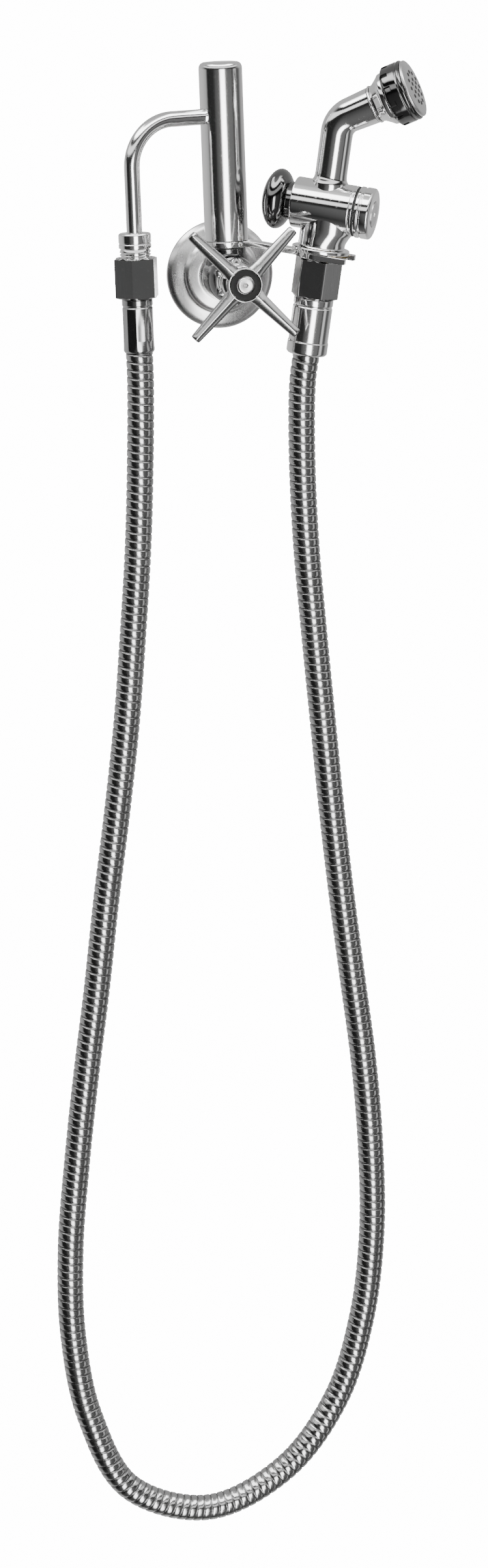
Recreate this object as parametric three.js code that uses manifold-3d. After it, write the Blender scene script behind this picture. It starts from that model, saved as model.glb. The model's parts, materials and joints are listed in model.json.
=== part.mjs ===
// Wall-mounted pet bath sprayer: wall valve with cross handle, anti-siphon column, fork rest,
// flexible metal hose and push-button handset with an elbow spout.
// Millimetres, +Z up. The wall is the plane y = 0, the valve stands out along -y and the
// origin is the centre of the wall flange's back.
import * as THREE from 'three';
import { mergeVertices } from 'three/addons/utils/BufferGeometryUtils.js';
import Module from 'manifold-3d';

const wasm = await Module();
wasm.setup();

// ---- driving dimensions -------------------------------------------------------------------
const GAP = 0.3; // clearance between pieces that touch, turn or slide
const BIG = 20; // facets of the widest turned pieces
const ROUND = 16; // facets of ordinary turned pieces
const MID = 12; // facets of inner pieces
const SMALL = 10; // facets of screws, rods and drilled holes

// wall flange
const FLANGE_R = 36;
const FLANGE_H = 12;
const FLANGE_STEP_R = 24;
const FLANGE_WALL = 1.6;
const FLANGE_EDGE = 2.2;

// supply shank through the wall, a half-inch pipe thread
const PIPE_R = 10.4;
const PIPE_BORE = 7;
const SHANK_BEHIND = 28;
const SHANK_ENTRY = 7;
const LOCKNUT_WALL = 3.8;
const LOCKNUT_H = 4.4;
const SHANK_WASHER_R = 16;
const SHANK_WASHER_T = 1.2;

// valve body and chamber
const BODY_R = 16;
const BODY_LIP = 1.8;
const BODY_LEN = 37;
const BODY_WEB = 2;
const WEB_HOLE_R = 5.5;
const CHAMBER_R = 10.2;
const SEAT_T = 2;
const SEAT_HOLE_R = 5;

// seat disc carried by the stem
const DISC_PLAY = 1.7;
const DISC_T = 3.8;
const SEAT_WASHER_INSET = 0.5;
const SEAT_WASHER_T = 2;
const WASHER_SCREW_R = 1.6;
const WASHER_SCREW_HEAD_R = 3.5;
const SOCKET_DEPTH = 4;
const SOCKET_WALL = 1.8;
const STEM_R = 4;
const STEM_TIP_R = 3.4;

// bonnet and packing
const BONNET_THREAD_LEN = 6.5;
const BONNET_AF = 27;
const BONNET_HEX_H = 5.5;
const BONNET_NECK_R = 10;
const BONNET_NECK_H = 9;
const PACKING_R = 7.2;
const PACKING_T = 3.7;
const PACKING_FLOOR = 1;
const GASKET_T = 0.9;
const PACKING_NUT_WALL = 2.1;
const PACKING_NUT_H = 10;

// cross handle
const HANDLE_SPACE = 3.5;
const HUB_R = 11.3;
const HUB_H = 11;
const ARM_TIP = 48;
const ARM_ROOT_R = 5.2;
const ARM_END_R = 3.3;
const HUB_RIM = 0.9;
const INDEX_CLEAR = 0.4;
const INDEX_T = 1.7;
const HANDLE_SCREW_HEAD_R = 5.5;
const HANDLE_SCREW_HEAD_H = 2.4;
const HANDLE_SCREW_R = 2;
const HANDLE_SCREW_LEN = 9;
const HUB_WEB = 2.4;

// anti-siphon column above the valve body
const COLUMN_STAND = 0.65; // wall flange's face to the back of the column
const COLUMN_R = 14.35;
const COLUMN_WALL = 1.5;
const COLUMN_LEN = 116.4;
const COLUMN_ROUND = 4.5;
const BOSS_R = 12.6;
const BOSS_H = 4;
const SPIGOT_R = 8;
const SPIGOT_BORE = 4.5;
const PLUG_H = 11;
const SEAT_BELOW_OUTLET = 22;
const LOWER_SEAT_T = 4;
const LOWER_SEAT_HOLE_R = 6;
const POPPET_R = 9.5;
const POPPET_DISC_T = 3;
const POPPET_STEM_R = 2.5;
const POPPET_STEM_LEN = 21.5;
const POPPET_TOP_R = 7;
const POPPET_SEAL_T = 1.7;
const POPPET_LIFT = 4.7;
const AIR_RING_T = 3;
const AIR_RING_HOLE_R = 5;
const VENT_R = 1.8;
const VENT_DROP = 10; // vents below the column's top
const VENT_COUNT = 3;

// fork rest
const PLATE_T = 4;
const FORK_TURN = 27; // degrees out from the wall
const FORK_DROP = 10; // degrees the fork slopes down
const FORK_BEND = 17.6; // column axis to the bend
const FORK_ARM = 46.6; // bend to the handset's axis
const FORK_ARM_W = 12;
const FORK_HEAD_R = 16.5;
const FORK_PRONG = 20.5;
const FORK_PLAY = 0.5;

// side outlet
const OUTLET_R = 5.15;
const OUTLET_BORE = 3.9;
const OUTLET_DROP = 35; // side outlet below the column's top
const OUTLET_TURN = 16; // degrees out from the wall
const OUTLET_REACH = 67.5;
const OUTLET_BEND_R = 30;
const OUTLET_ENTRY = 1.1;
const OUTLET_STEPS = 14;

// hose adapter under the side outlet
const ADAPTER_TOP = 34.5;
const COLLAR_STEP = 0.3;
const COLLAR_H = 10;
const THREAD_LEN = 16;
const ADAPTER_SOCKET = 8;
const NUT_ENGAGE = 10;
const ADAPTER_BORE = 6;

// hose ends
const HOSE_WASHER_T = 2;
const HOSE_WASHER_BORE = 6;
const TAIL_COLLAR_T = 2.5;
const TAIL_R = 7.6;
const TAIL_TIP_R = 6.2;
const TAIL_BORE = 4.5;
const TAIL_STEP = 2;
const TAIL_SHORT = 7;
const FERRULE_CHAMFER = 1.4;
const INLET_NUT_WALL = 2.3;
const INLET_NUT_LEN = 26.5;
const INLET_FERRULE_R = 10.2;
const INLET_FERRULE_LEN = 35.3;
const HAND_NUT_WALL = 3.3;
const HAND_NUT_LEN = 25.7;
const HAND_FERRULE_R = 13.2;
const HAND_FERRULE_LEN = 37.6;

// hose
const HOSE_R = 9;
const HOSE_BORE = 7.6;
const HOSE_SIDES = 8;
const HOSE_STEPS = 40;

// handset body
const REST_R = 19.05;
const REST_T = 2.8;
const NECK_R = 15.5;
const BARREL_R = 16.6;
const BARREL_Z = 29.7;
const BARREL_BACK = 21.5;
const BARREL_FRONT = 20.4;
const BARREL_BORE = 12.8;
const GUSSET_SHORT = 0.8;
const GUSSET_W = 22;
const INLET_PASS_R = 3.5;
const INLET_PASS_X = 6;
const SPOUT_PASS_WALL = 0.55;
const NIPPLE_BORE = 6.5;
const NIPPLE_SOCKET = 6;

// handset valve
const HAND_SEAT_T = 3;
const HAND_SEAT_X = 1;
const HAND_SEAT_HOLE_R = 6;
const ROD_R = 3;
const VALVE_DISC_R = 8.5;
const VALVE_DISC_T = 2.5;
const DISC_NUT_R = 5.2;
const DISC_NUT_T = 3;
const PRESS = 4; // travel of the push button
const SPRING_IN = 6.2;
const SPRING_OUT = 7.4;
const GUIDE_LEN = 6.5;
const ORING_R = 5.6;
const ORING_T = 2;
const BUTTON_FLARE = 3.15; // rim beyond the barrel
const BUTTON_HALF = 10; // half the button's thickness
const BUTTON_STAND = 1.3; // back of the button's curve to the barrel's end
const BUTTON_LAP = 1.5; // button's neck inside the barrel
const BUTTON_EDGE = 0.7; // neck to the edge of the button's back
const BUTTON_WALL = 1.6;
const BUTTON_STEPS = 12;
const BUTTON_FACE_T = 4.6;
const BUTTON_BOSS_R = 6;
const BUTTON_BOSS_H = 4;

// end cap
const CAP_PROUD = 0.3;
const CAP_LEN = 10;
const CAP_GASKET_T = 1;
const CAP_SPIGOT = 6.4;
const CAP_PLUG_R = 8.2;
const CAP_PLUG_DEPTH = 2;
const CAP_PLUG_PROUD = 0.5;

// spout and spray head
const SPOUT_R = 10.65;
const SPOUT_WALL = 1.6;
const SPOUT_CORNER = 86.7;
const SPOUT_RISE = 31; // degrees above the barrel's direction
const SPOUT_BEND_R = 16;
const SPOUT_OUT = 25.4;
const SPOUT_STEPS = 10;
const SEAM_PROUD = 1.95;
const SEAM_T = 1.6;
const CONE_INSET = 2.7; // cone's edge inside the head's rim
const CONE_LEN = 10.4;
const CONE_WALL = 1.6;
const HEAD_R = 20.2;
const HEAD_LEN = 14;
const HEAD_WALL = 3.2;
const HEAD_LIP = 2;
const HEAD_LIP_W = 4;
const NOTCHES = 12;
const NOTCH_W = 3;
const NOTCH_DEPTH = 1.4;
const FACE_INSET = 1;
const FACE_T = 2;
const FACE_DOME = 1;
const FACE_SKIRT_WALL = 1.6;
const FACE_GASKET_T = 2;
const SPRAY_HOLE_R = 0.85;
const SPRAY_MARGIN = 4.5; // outer row of holes inside the face's skirt
const SPRAY_ROWS = [1, 6, 12]; // holes in each row, from the middle out

// ---- solid helpers ------------------------------------------------------------------------

// Merges a geometry's shared vertices, drops collapsed triangles and turns its faces outward.
function closed(geometry) {
  const bare = geometry.clone();
  bare.deleteAttribute('normal');
  bare.deleteAttribute('uv');
  const merged = mergeVertices(bare, 1e-4);
  const spot = merged.attributes.position.array;
  const corners = merged.index.array;
  const kept = [];
  let volume = 0;
  const a = new THREE.Vector3();
  const b = new THREE.Vector3();
  const c = new THREE.Vector3();
  for (let i = 0; i < corners.length; i += 3) {
    const [p, q, r] = [corners[i], corners[i + 1], corners[i + 2]];
    if (p !== q && q !== r && r !== p) {
      kept.push(p, q, r);
      a.fromArray(spot, 3 * p);
      b.fromArray(spot, 3 * q);
      c.fromArray(spot, 3 * r);
      volume += a.dot(b.cross(c));
    }
  }
  if (volume < 0) {
    for (let i = 0; i < kept.length; i += 3) {
      [kept[i], kept[i + 1]] = [kept[i + 1], kept[i]];
    }
  }
  merged.setIndex(kept);
  return merged;
}

function toSolid(geometry) {
  const shape = closed(geometry);
  const mesh = new wasm.Mesh({
    numProp: 3,
    vertProperties: new Float32Array(shape.attributes.position.array),
    triVerts: new Uint32Array(shape.index.array),
  });
  return new wasm.Manifold(mesh);
}

function fromSolid(solid) {
  const mesh = solid.getMesh();
  const geometry = new THREE.BufferGeometry();
  geometry.setAttribute('position', new THREE.BufferAttribute(mesh.vertProperties, 3));
  geometry.setIndex(new THREE.BufferAttribute(mesh.triVerts, 1));
  return geometry;
}

function join(first, ...rest) {
  return fromSolid(rest.reduce((whole, next) => whole.add(toSolid(next)), toSolid(first)));
}

function cut(first, ...rest) {
  return fromSolid(rest.reduce((whole, next) => whole.subtract(toSolid(next)), toSolid(first)));
}

function common(first, second) {
  return fromSolid(toSolid(first).intersect(toSolid(second)));
}

const radians = THREE.MathUtils.degToRad;

// A closed profile of [radius, height] pairs turned about the z axis.
function turned(profile, sides = ROUND) {
  const points = profile.map(([r, z]) => new THREE.Vector2(r, z));
  if (profile[0][0] > 0) {
    points.push(points[0].clone());
  }
  return closed(new THREE.LatheGeometry(points, sides).rotateX(Math.PI / 2));
}

function ring(inner, outer, low, high, sides = ROUND) {
  return turned([[inner, low], [outer, low], [outer, high], [inner, high]], sides);
}

function rod(radius, low, high, sides = ROUND) {
  return turned([[0, low], [radius, low], [radius, high], [0, high]], sides);
}

// A hexagonal bar given by its centre to a flat, with both ends chamfered across the corners.
function hexBar(flat, low, high) {
  const corner = (2 * flat) / Math.sqrt(3);
  const bevel = (corner - flat) * 0.6;
  const prism = new THREE.CylinderGeometry(corner, corner, high - low, 6)
    .rotateX(Math.PI / 2)
    .translate(0, 0, (low + high) / 2);
  const round = turned([
    [0, low], [flat, low], [corner + 0.01, low + bevel],
    [corner + 0.01, high - bevel], [flat, high], [0, high],
  ], ROUND);
  return common(prism, round);
}

// Turns a shape made about z so that it lies along +x, or along -x when `back` is true.
function alongX(geometry, back = false) {
  return geometry.clone().rotateY(back ? -Math.PI / 2 : Math.PI / 2);
}

// Turns a shape made about z so that it points along a horizontal direction.
function towards(geometry, degrees) {
  return alongX(geometry).rotateZ(radians(degrees));
}

function outline(points) {
  return new THREE.Shape(points.map(([x, y]) => new THREE.Vector2(x, y)));
}

function prism(shape, low, high, curveSegments = 10) {
  return new THREE.ExtrudeGeometry(shape, { depth: high - low, bevelEnabled: false, curveSegments })
    .translate(0, 0, low);
}

function box(x0, x1, y0, y1, z0, z1) {
  return new THREE.BoxGeometry(x1 - x0, y1 - y0, z1 - z0)
    .translate((x0 + x1) / 2, (y0 + y1) / 2, (z0 + z1) / 2);
}

// A ring-shaped section swept along a path.
function pipe(path, outer, inner, sides, steps) {
  const section = new THREE.Shape();
  const hole = new THREE.Path();
  for (let k = 0; k < sides; k += 1) {
    const angle = (2 * Math.PI * k) / sides;
    const [x, y] = [Math.cos(angle), Math.sin(angle)];
    if (k === 0) {
      section.moveTo(outer * x, outer * y);
      hole.moveTo(inner * x, inner * y);
    } else {
      section.lineTo(outer * x, outer * y);
      hole.lineTo(inner * x, inner * y);
    }
  }
  section.closePath();
  hole.closePath();
  section.holes.push(hole);
  const settings = { steps, bevelEnabled: false, extrudePath: path };
  return closed(new THREE.ExtrudeGeometry(section, settings));
}

// A straight run, a round bend and a second straight run, given by the corner between them.
function bentPath(start, corner, end, radius) {
  const first = corner.clone().sub(start).normalize();
  const second = end.clone().sub(corner).normalize();
  const turn = first.angleTo(second);
  const tangent = radius * Math.tan(turn / 2);
  const pull = (4 / 3) * Math.tan(turn / 4) * radius;
  const enter = corner.clone().addScaledVector(first, -tangent);
  const leave = corner.clone().addScaledVector(second, tangent);
  const path = new THREE.CurvePath();
  path.add(new THREE.LineCurve3(start, enter));
  path.add(new THREE.CubicBezierCurve3(
    enter,
    enter.clone().addScaledVector(first, pull),
    leave.clone().addScaledVector(second, -pull),
    leave,
  ));
  path.add(new THREE.LineCurve3(leave, end));
  return path;
}

// ---- materials and scene ------------------------------------------------------------------

const FINISHES = {
  chrome: { color: 0xd4d6d8, roughness: 0.12, metalness: 1 },
  steel: { color: 0xb4b6b8, roughness: 0.3, metalness: 1 },
  brass: { color: 0xb8954e, roughness: 0.35, metalness: 1 },
  rubber: { color: 0x1c1c1d, roughness: 0.75, metalness: 0 },
  fibre: { color: 0x8c3b2a, roughness: 0.8, metalness: 0 },
  black: { color: 0x161617, roughness: 0.35, metalness: 0 },
  white: { color: 0xdcdad4, roughness: 0.5, metalness: 0 },
};

const sprayer = new THREE.Group();

function add(parent, name, finish, geometry) {
  const mesh = new THREE.Mesh(geometry, new THREE.MeshStandardMaterial(FINISHES[finish]));
  mesh.name = name;
  mesh.geometry.computeVertexNormals();
  parent.add(mesh);
}

// ---- wall valve, made about its own axis: local z is the distance from the wall -------------

const valve = new THREE.Group();
valve.rotation.x = Math.PI / 2;
sprayer.add(valve);

const flangeHoleR = PIPE_R + GAP;
const domeR = (share) => FLANGE_STEP_R + share * (FLANGE_R - FLANGE_STEP_R);
const domeTop = [
  [FLANGE_R, 0],
  [FLANGE_R, 0.12 * FLANGE_H],
  [domeR(0.75), 0.34 * FLANGE_H],
  [domeR(0.05), 0.62 * FLANGE_H],
  [FLANGE_STEP_R, 0.75 * FLANGE_H],
  [(FLANGE_STEP_R + PIPE_R) / 2, FLANGE_H],
  [flangeHoleR, FLANGE_H],
];
const domeUnder = [
  [flangeHoleR, FLANGE_H - FLANGE_WALL],
  [(FLANGE_STEP_R + PIPE_R) / 2 - 0.5, FLANGE_H - FLANGE_WALL],
  [FLANGE_STEP_R - FLANGE_WALL - 1, 0.68 * FLANGE_H - FLANGE_WALL],
  [domeR(0.75) - 1, 0.34 * FLANGE_H - FLANGE_WALL],
  [FLANGE_R - FLANGE_EDGE, 0],
];
add(valve, 'wall_flange', 'chrome', turned([...domeTop, ...domeUnder], BIG));

const bodyBack = FLANGE_H + GAP;
const bodyFront = bodyBack + BODY_LEN;
const shankEnd = bodyBack + SHANK_ENTRY;
add(valve, 'supply_shank', 'brass', ring(PIPE_BORE, PIPE_R, -SHANK_BEHIND, shankEnd, BIG));
add(valve, 'shank_washer', 'fibre', ring(PIPE_R + GAP, SHANK_WASHER_R, GAP, GAP + SHANK_WASHER_T));
const locknutLow = 2 * GAP + SHANK_WASHER_T;
const locknut = hexBar(PIPE_R + GAP + LOCKNUT_WALL, locknutLow, locknutLow + LOCKNUT_H);
add(valve, 'shank_locknut', 'brass', cut(locknut, rod(PIPE_R + GAP, -1, locknutLow + LOCKNUT_H + 1)));

// Valve body: barrel, boss and spigot for the column, back bore, seat web, chamber, riser.
const bossTop = BODY_R + BOSS_H;
const plateTop = bossTop + GAP + PLATE_T;
const spigotTop = plateTop + GAP + PLUG_H;
const chamberLow = shankEnd + GAP + BODY_WEB;
const lipR = PIPE_R + GAP + BODY_LIP;
const barrel = turned([
  [0, bodyBack], [lipR, bodyBack], [lipR + 0.3, bodyBack + 2],
  [lipR + 0.75 * (BODY_R - lipR), bodyBack + 4.5], [BODY_R, bodyBack + 9],
  [BODY_R, bodyFront - 8], [BODY_R - 1, bodyFront - 3.5], [BODY_R - 3, bodyFront], [0, bodyFront],
], BIG);
const columnY = FLANGE_H + COLUMN_STAND + COLUMN_R;
const upright = (geometry) => geometry.rotateX(-Math.PI / 2).translate(0, 0, columnY);
const boss = upright(rod(BOSS_R, 2, bossTop));
const spigot = upright(rod(SPIGOT_R, 2, spigotTop, MID));
const riser = upright(rod(SPIGOT_BORE, 0.6 * CHAMBER_R, spigotTop + 1, SMALL));
const bodyBores = [
  rod(PIPE_R + GAP, bodyBack - 1, shankEnd + GAP),
  rod(WEB_HOLE_R, bodyBack - 1, bodyFront + 1, MID),
  rod(CHAMBER_R, chamberLow, bodyFront + 1),
  riser,
];
add(valve, 'valve_body', 'chrome', cut(join(barrel, boss, spigot), ...bodyBores));

const seatLow = chamberLow + GAP;
const seatTop = seatLow + SEAT_T;
add(valve, 'valve_seat_ring', 'brass', ring(SEAT_HOLE_R, CHAMBER_R - GAP, seatLow, seatTop, MID));

const washerLow = seatTop + GAP;
const washerTop = washerLow + SEAT_WASHER_T;
const discLow = washerTop + GAP;
const discTop = discLow + DISC_T;
const discR = CHAMBER_R - DISC_PLAY;
const seatWasherR = discR - SEAT_WASHER_INSET;
const socketTop = discTop + SOCKET_DEPTH + 1;
const screwEnd = discLow + DISC_T - 1.4;
const seatWasher = ring(WASHER_SCREW_R + GAP, seatWasherR, washerLow, washerTop, MID);
add(valve, 'seat_washer', 'rubber', seatWasher);
add(valve, 'washer_screw', 'brass', turned([
  [0, washerLow - GAP - 1.4], [WASHER_SCREW_HEAD_R, washerLow - GAP - 1.4],
  [WASHER_SCREW_HEAD_R, washerLow - GAP], [WASHER_SCREW_R, washerLow - GAP],
  [WASHER_SCREW_R, screwEnd], [0, screwEnd],
], SMALL));
const socketR = STEM_TIP_R + GAP;
add(valve, 'disc_holder', 'brass', turned([
  [0, screwEnd + GAP], [WASHER_SCREW_R + GAP, screwEnd + GAP], [WASHER_SCREW_R + GAP, discLow],
  [discR, discLow], [discR, discTop], [socketR + SOCKET_WALL, discTop],
  [socketR + SOCKET_WALL, socketTop], [socketR, socketTop], [socketR, discTop + 1], [0, discTop + 1],
], MID));

const gasketLow = bodyFront + GAP;
const bonnetHex = gasketLow + GASKET_T + GAP;
const bonnetShoulder = bonnetHex + BONNET_HEX_H;
const bonnetEnd = bonnetShoulder + BONNET_NECK_H;
const bonnetStart = bonnetHex - BONNET_THREAD_LEN;
const stemHoleR = STEM_R + GAP;
const packingBoreR = PACKING_R + GAP;
const packingFloor = bonnetShoulder + PACKING_FLOOR;
add(valve, 'bonnet_gasket', 'fibre', ring(CHAMBER_R, BODY_R - 3, gasketLow, gasketLow + GASKET_T));
const bonnetBlank = join(
  rod(CHAMBER_R - GAP, bonnetStart, bonnetHex + 1),
  hexBar(BONNET_AF / 2, bonnetHex, bonnetShoulder),
  rod(BONNET_NECK_R, bonnetShoulder - 1, bonnetEnd),
);
add(valve, 'valve_bonnet', 'chrome', cut(
  bonnetBlank,
  rod(stemHoleR, bonnetStart - 1, bonnetEnd + 1, MID),
  rod(packingBoreR, packingFloor, bonnetEnd + 1, MID),
));
const packingLow = packingFloor + GAP;
const packingTop = packingLow + PACKING_T;
add(valve, 'stem_packing', 'rubber', ring(stemHoleR, PACKING_R, packingLow, packingTop, MID));
const packingNutLow = bonnetShoulder + 2.5;
const packingNutTop = packingNutLow + PACKING_NUT_H;
const packingNutR = BONNET_NECK_R + GAP + PACKING_NUT_WALL;
add(valve, 'packing_nut', 'chrome', turned([
  [BONNET_NECK_R + GAP, packingNutLow], [packingNutR, packingNutLow],
  [packingNutR, packingNutTop - 2.2], [packingNutR - 2.2, packingNutTop],
  [stemHoleR, packingNutTop], [stemHoleR, packingTop + GAP], [PACKING_R, packingTop + GAP],
  [PACKING_R, bonnetEnd + GAP], [BONNET_NECK_R + GAP, bonnetEnd + GAP],
]));

// Stem, cross handle and what is on its front.
const hubLow = packingNutTop + HANDLE_SPACE;
const hubTop = hubLow + HUB_H;
const recessFloor = hubTop - INDEX_T + 0.3;
const stemEnd = recessFloor - HUB_WEB - GAP;
add(valve, 'valve_stem', 'steel', cut(
  turned([
    [0, discTop + 1 + GAP], [STEM_TIP_R, discTop + 1 + GAP], [STEM_TIP_R, socketTop + GAP],
    [STEM_R, socketTop + GAP], [STEM_R, stemEnd], [0, stemEnd],
  ], MID),
  rod(HANDLE_SCREW_R + GAP, stemEnd - HANDLE_SCREW_LEN, stemEnd + 1, SMALL),
));
const armMiddle = hubLow + 0.52 * HUB_H;
const arm = new THREE.CylinderGeometry(ARM_END_R, ARM_ROOT_R, ARM_TIP - 4, 6)
  .rotateZ(-Math.PI / 2)
  .translate((ARM_TIP + 4) / 2, 0, armMiddle);
const arms = [45, 135, 225, 315].map((degrees) => arm.clone().rotateZ(radians(degrees)));
const hub = turned([
  [0, hubLow], [HUB_R - 2.5, hubLow], [HUB_R, hubLow + 2.5], [HUB_R, hubTop - 0.6],
  [HUB_R - 0.4, hubTop], [0, hubTop],
]);
add(valve, 'cross_handle', 'chrome', cut(
  join(hub, ...arms),
  rod(stemHoleR, hubLow - 1, stemEnd + GAP, MID),
  rod(HANDLE_SCREW_R + GAP, stemEnd, hubTop + 1, SMALL),
  rod(HUB_R - HUB_RIM, recessFloor, hubTop + 1),
));
const indexLow = recessFloor + GAP;
const indexOutR = HUB_R - HUB_RIM - GAP;
const indexInR = HANDLE_SCREW_HEAD_R + INDEX_CLEAR;
add(valve, 'index_ring', 'black', ring(indexInR, indexOutR, indexLow, indexLow + INDEX_T));
const screwHeadTop = indexLow + HANDLE_SCREW_HEAD_H;
const screwTip = stemEnd - HANDLE_SCREW_LEN + GAP;
add(valve, 'handle_screw', 'steel', cut(
  turned([
    [0, screwTip], [HANDLE_SCREW_R, screwTip], [HANDLE_SCREW_R, indexLow],
    [HANDLE_SCREW_HEAD_R, indexLow], [HANDLE_SCREW_HEAD_R, screwHeadTop - 0.7],
    [HANDLE_SCREW_HEAD_R - 1.2, screwHeadTop], [0, screwHeadTop],
  ], MID),
  new THREE.CylinderGeometry(1.5, 1.5, 2, 6).rotateX(Math.PI / 2).translate(0, 0, screwHeadTop),
));

// ---- anti-siphon column ---------------------------------------------------------------------

const column = new THREE.Group();
column.position.y = -columnY;
sprayer.add(column);

const columnLow = plateTop + GAP;
const columnTop = columnLow + COLUMN_LEN;
const columnBore = COLUMN_R - COLUMN_WALL;
const innerR = columnBore - GAP;
const columnShell = turned([
  [0, columnTop - COLUMN_WALL], [columnBore - COLUMN_ROUND + 1, columnTop - COLUMN_WALL],
  [columnBore, columnTop - COLUMN_ROUND - 0.5], [columnBore, columnLow], [COLUMN_R, columnLow],
  [COLUMN_R, columnTop - COLUMN_ROUND], [COLUMN_R - 0.3 * COLUMN_ROUND, columnTop - 0.3 * COLUMN_ROUND],
  [COLUMN_R - COLUMN_ROUND, columnTop], [0, columnTop],
], BIG);
const outletDegrees = 180 + OUTLET_TURN;
const outletZ = columnTop - OUTLET_DROP;
const outletHole = towards(rod(OUTLET_R + GAP, columnBore - 4, COLUMN_R + 2, MID), outletDegrees)
  .translate(0, 0, outletZ);
const vents = [];
for (let k = 0; k < VENT_COUNT; k += 1) {
  const spread = 30 * (k - (VENT_COUNT - 1) / 2);
  const vent = rod(VENT_R, columnBore - 2, COLUMN_R + 2, SMALL);
  vents.push(towards(vent, 90 + spread).translate(0, 0, columnTop - VENT_DROP));
}
add(column, 'column_tube', 'chrome', cut(columnShell, outletHole, ...vents));
add(column, 'column_plug', 'brass', ring(SPIGOT_R + GAP, innerR, columnLow, columnLow + PLUG_H));
const lowerSeatLow = outletZ - SEAT_BELOW_OUTLET;
const lowerSeatTop = lowerSeatLow + LOWER_SEAT_T;
const lowerSeat = ring(LOWER_SEAT_HOLE_R, innerR, lowerSeatLow, lowerSeatTop, MID);
add(column, 'column_lower_seat', 'brass', lowerSeat);
const poppetLow = lowerSeatTop + GAP;
const poppetNeck = poppetLow + POPPET_DISC_T;
const poppetHead = poppetNeck + POPPET_STEM_LEN;
const poppetTop = poppetHead + 3;
add(column, 'column_poppet', 'white', turned([
  [0, poppetLow], [POPPET_R, poppetLow], [POPPET_R, poppetNeck], [POPPET_STEM_R, poppetNeck],
  [POPPET_STEM_R, poppetHead], [POPPET_TOP_R, poppetHead], [POPPET_TOP_R, poppetTop], [0, poppetTop],
], MID));
const sealLow = poppetTop + GAP;
const sealTop = sealLow + POPPET_SEAL_T;
add(column, 'poppet_seal', 'rubber', rod(POPPET_TOP_R - 0.2, sealLow, sealTop, MID));
const airRingLow = sealTop + POPPET_LIFT + GAP;
const airRing = ring(AIR_RING_HOLE_R, innerR, airRingLow, airRingLow + AIR_RING_T, MID);
add(column, 'column_air_ring', 'brass', airRing);

// ---- side outlet tube, hose adapter and the hose's inlet end ---------------------------------

const zAxis = new THREE.Vector3(0, 0, 1);
const outletWay = new THREE.Vector3(1, 0, 0).applyAxisAngle(zAxis, radians(outletDegrees));
const outletStart = outletWay.clone().multiplyScalar(COLUMN_R - OUTLET_ENTRY).setZ(outletZ);
const outletCorner = outletWay.clone().multiplyScalar(OUTLET_REACH).setZ(outletZ);
const outletEnd = outletCorner.clone().setZ(ADAPTER_TOP - ADAPTER_SOCKET + GAP);
const outletPath = bentPath(outletStart, outletCorner, outletEnd, OUTLET_BEND_R);
add(column, 'side_outlet_tube', 'chrome', pipe(outletPath, OUTLET_R, OUTLET_BORE, SMALL, OUTLET_STEPS));

const inletEnd = new THREE.Group();
inletEnd.position.set(outletCorner.x, outletCorner.y, 0);
column.add(inletEnd);
const collarLow = ADAPTER_TOP - COLLAR_H;
const threadEnd = collarLow - THREAD_LEN;
const socketFloor = ADAPTER_TOP - ADAPTER_SOCKET;
const collarR = PIPE_R + COLLAR_STEP;
add(inletEnd, 'hose_adapter', 'chrome', turned([
  [OUTLET_R + GAP, ADAPTER_TOP], [OUTLET_R + GAP, socketFloor], [OUTLET_BORE, socketFloor],
  [OUTLET_BORE, socketFloor - 1], [ADAPTER_BORE, socketFloor - 2.5], [ADAPTER_BORE, threadEnd],
  [PIPE_R, threadEnd], [PIPE_R, collarLow], [collarR, collarLow], [collarR, ADAPTER_TOP - 0.8],
  [collarR - 0.8, ADAPTER_TOP],
]));

// A hose end hanging below z = top: union nut, washer, tail piece and crimped ferrule.
function hoseEnd(parents, names, top, nutWall, nutLen, ferruleR, ferruleLen) {
  const washerTopZ = top - NUT_ENGAGE - GAP;
  const washerLowZ = washerTopZ - HOSE_WASHER_T;
  const tailTop = washerLowZ - GAP;
  const shoulder = tailTop - TAIL_COLLAR_T;
  const nutEnd = top - nutLen;
  const ferruleTop = nutEnd - GAP;
  const ferruleEnd = ferruleTop - ferruleLen;
  const step = ferruleTop - TAIL_STEP;
  add(parents.nut, names.nut, 'chrome', cut(
    hexBar(PIPE_R + GAP + nutWall, nutEnd, top),
    rod(PIPE_R + GAP, shoulder - GAP, top + 1),
    rod(TAIL_R + GAP, nutEnd - 1, top, MID),
  ));
  const washer = ring(HOSE_WASHER_BORE, PIPE_R - 0.2, washerLowZ, washerTopZ, MID);
  add(parents.nut, names.washer, 'rubber', washer);
  add(parents.tail, names.tail, 'brass', turned([
    [TAIL_BORE, tailTop], [TAIL_BORE, ferruleEnd + TAIL_SHORT], [TAIL_TIP_R, ferruleEnd + TAIL_SHORT],
    [TAIL_TIP_R, step], [TAIL_R, step], [TAIL_R, shoulder], [PIPE_R - 0.1, shoulder],
    [PIPE_R - 0.1, tailTop],
  ], MID));
  add(parents.tail, names.ferrule, 'chrome', turned([
    [TAIL_R + GAP, ferruleTop], [TAIL_R + GAP, step - GAP], [TAIL_TIP_R + GAP, step - GAP],
    [TAIL_TIP_R + GAP, ferruleEnd], [ferruleR - FERRULE_CHAMFER, ferruleEnd],
    [ferruleR, ferruleEnd + FERRULE_CHAMFER], [ferruleR, ferruleTop],
  ]));
}

hoseEnd(
  { nut: inletEnd, tail: inletEnd },
  {
    nut: 'inlet_hose_nut',
    washer: 'inlet_hose_washer',
    tail: 'inlet_hose_tail',
    ferrule: 'inlet_ferrule',
  },
  threadEnd + NUT_ENGAGE, INLET_NUT_WALL, INLET_NUT_LEN, INLET_FERRULE_R, INLET_FERRULE_LEN,
);

// ---- fork rest ----------------------------------------------------------------------------

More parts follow.
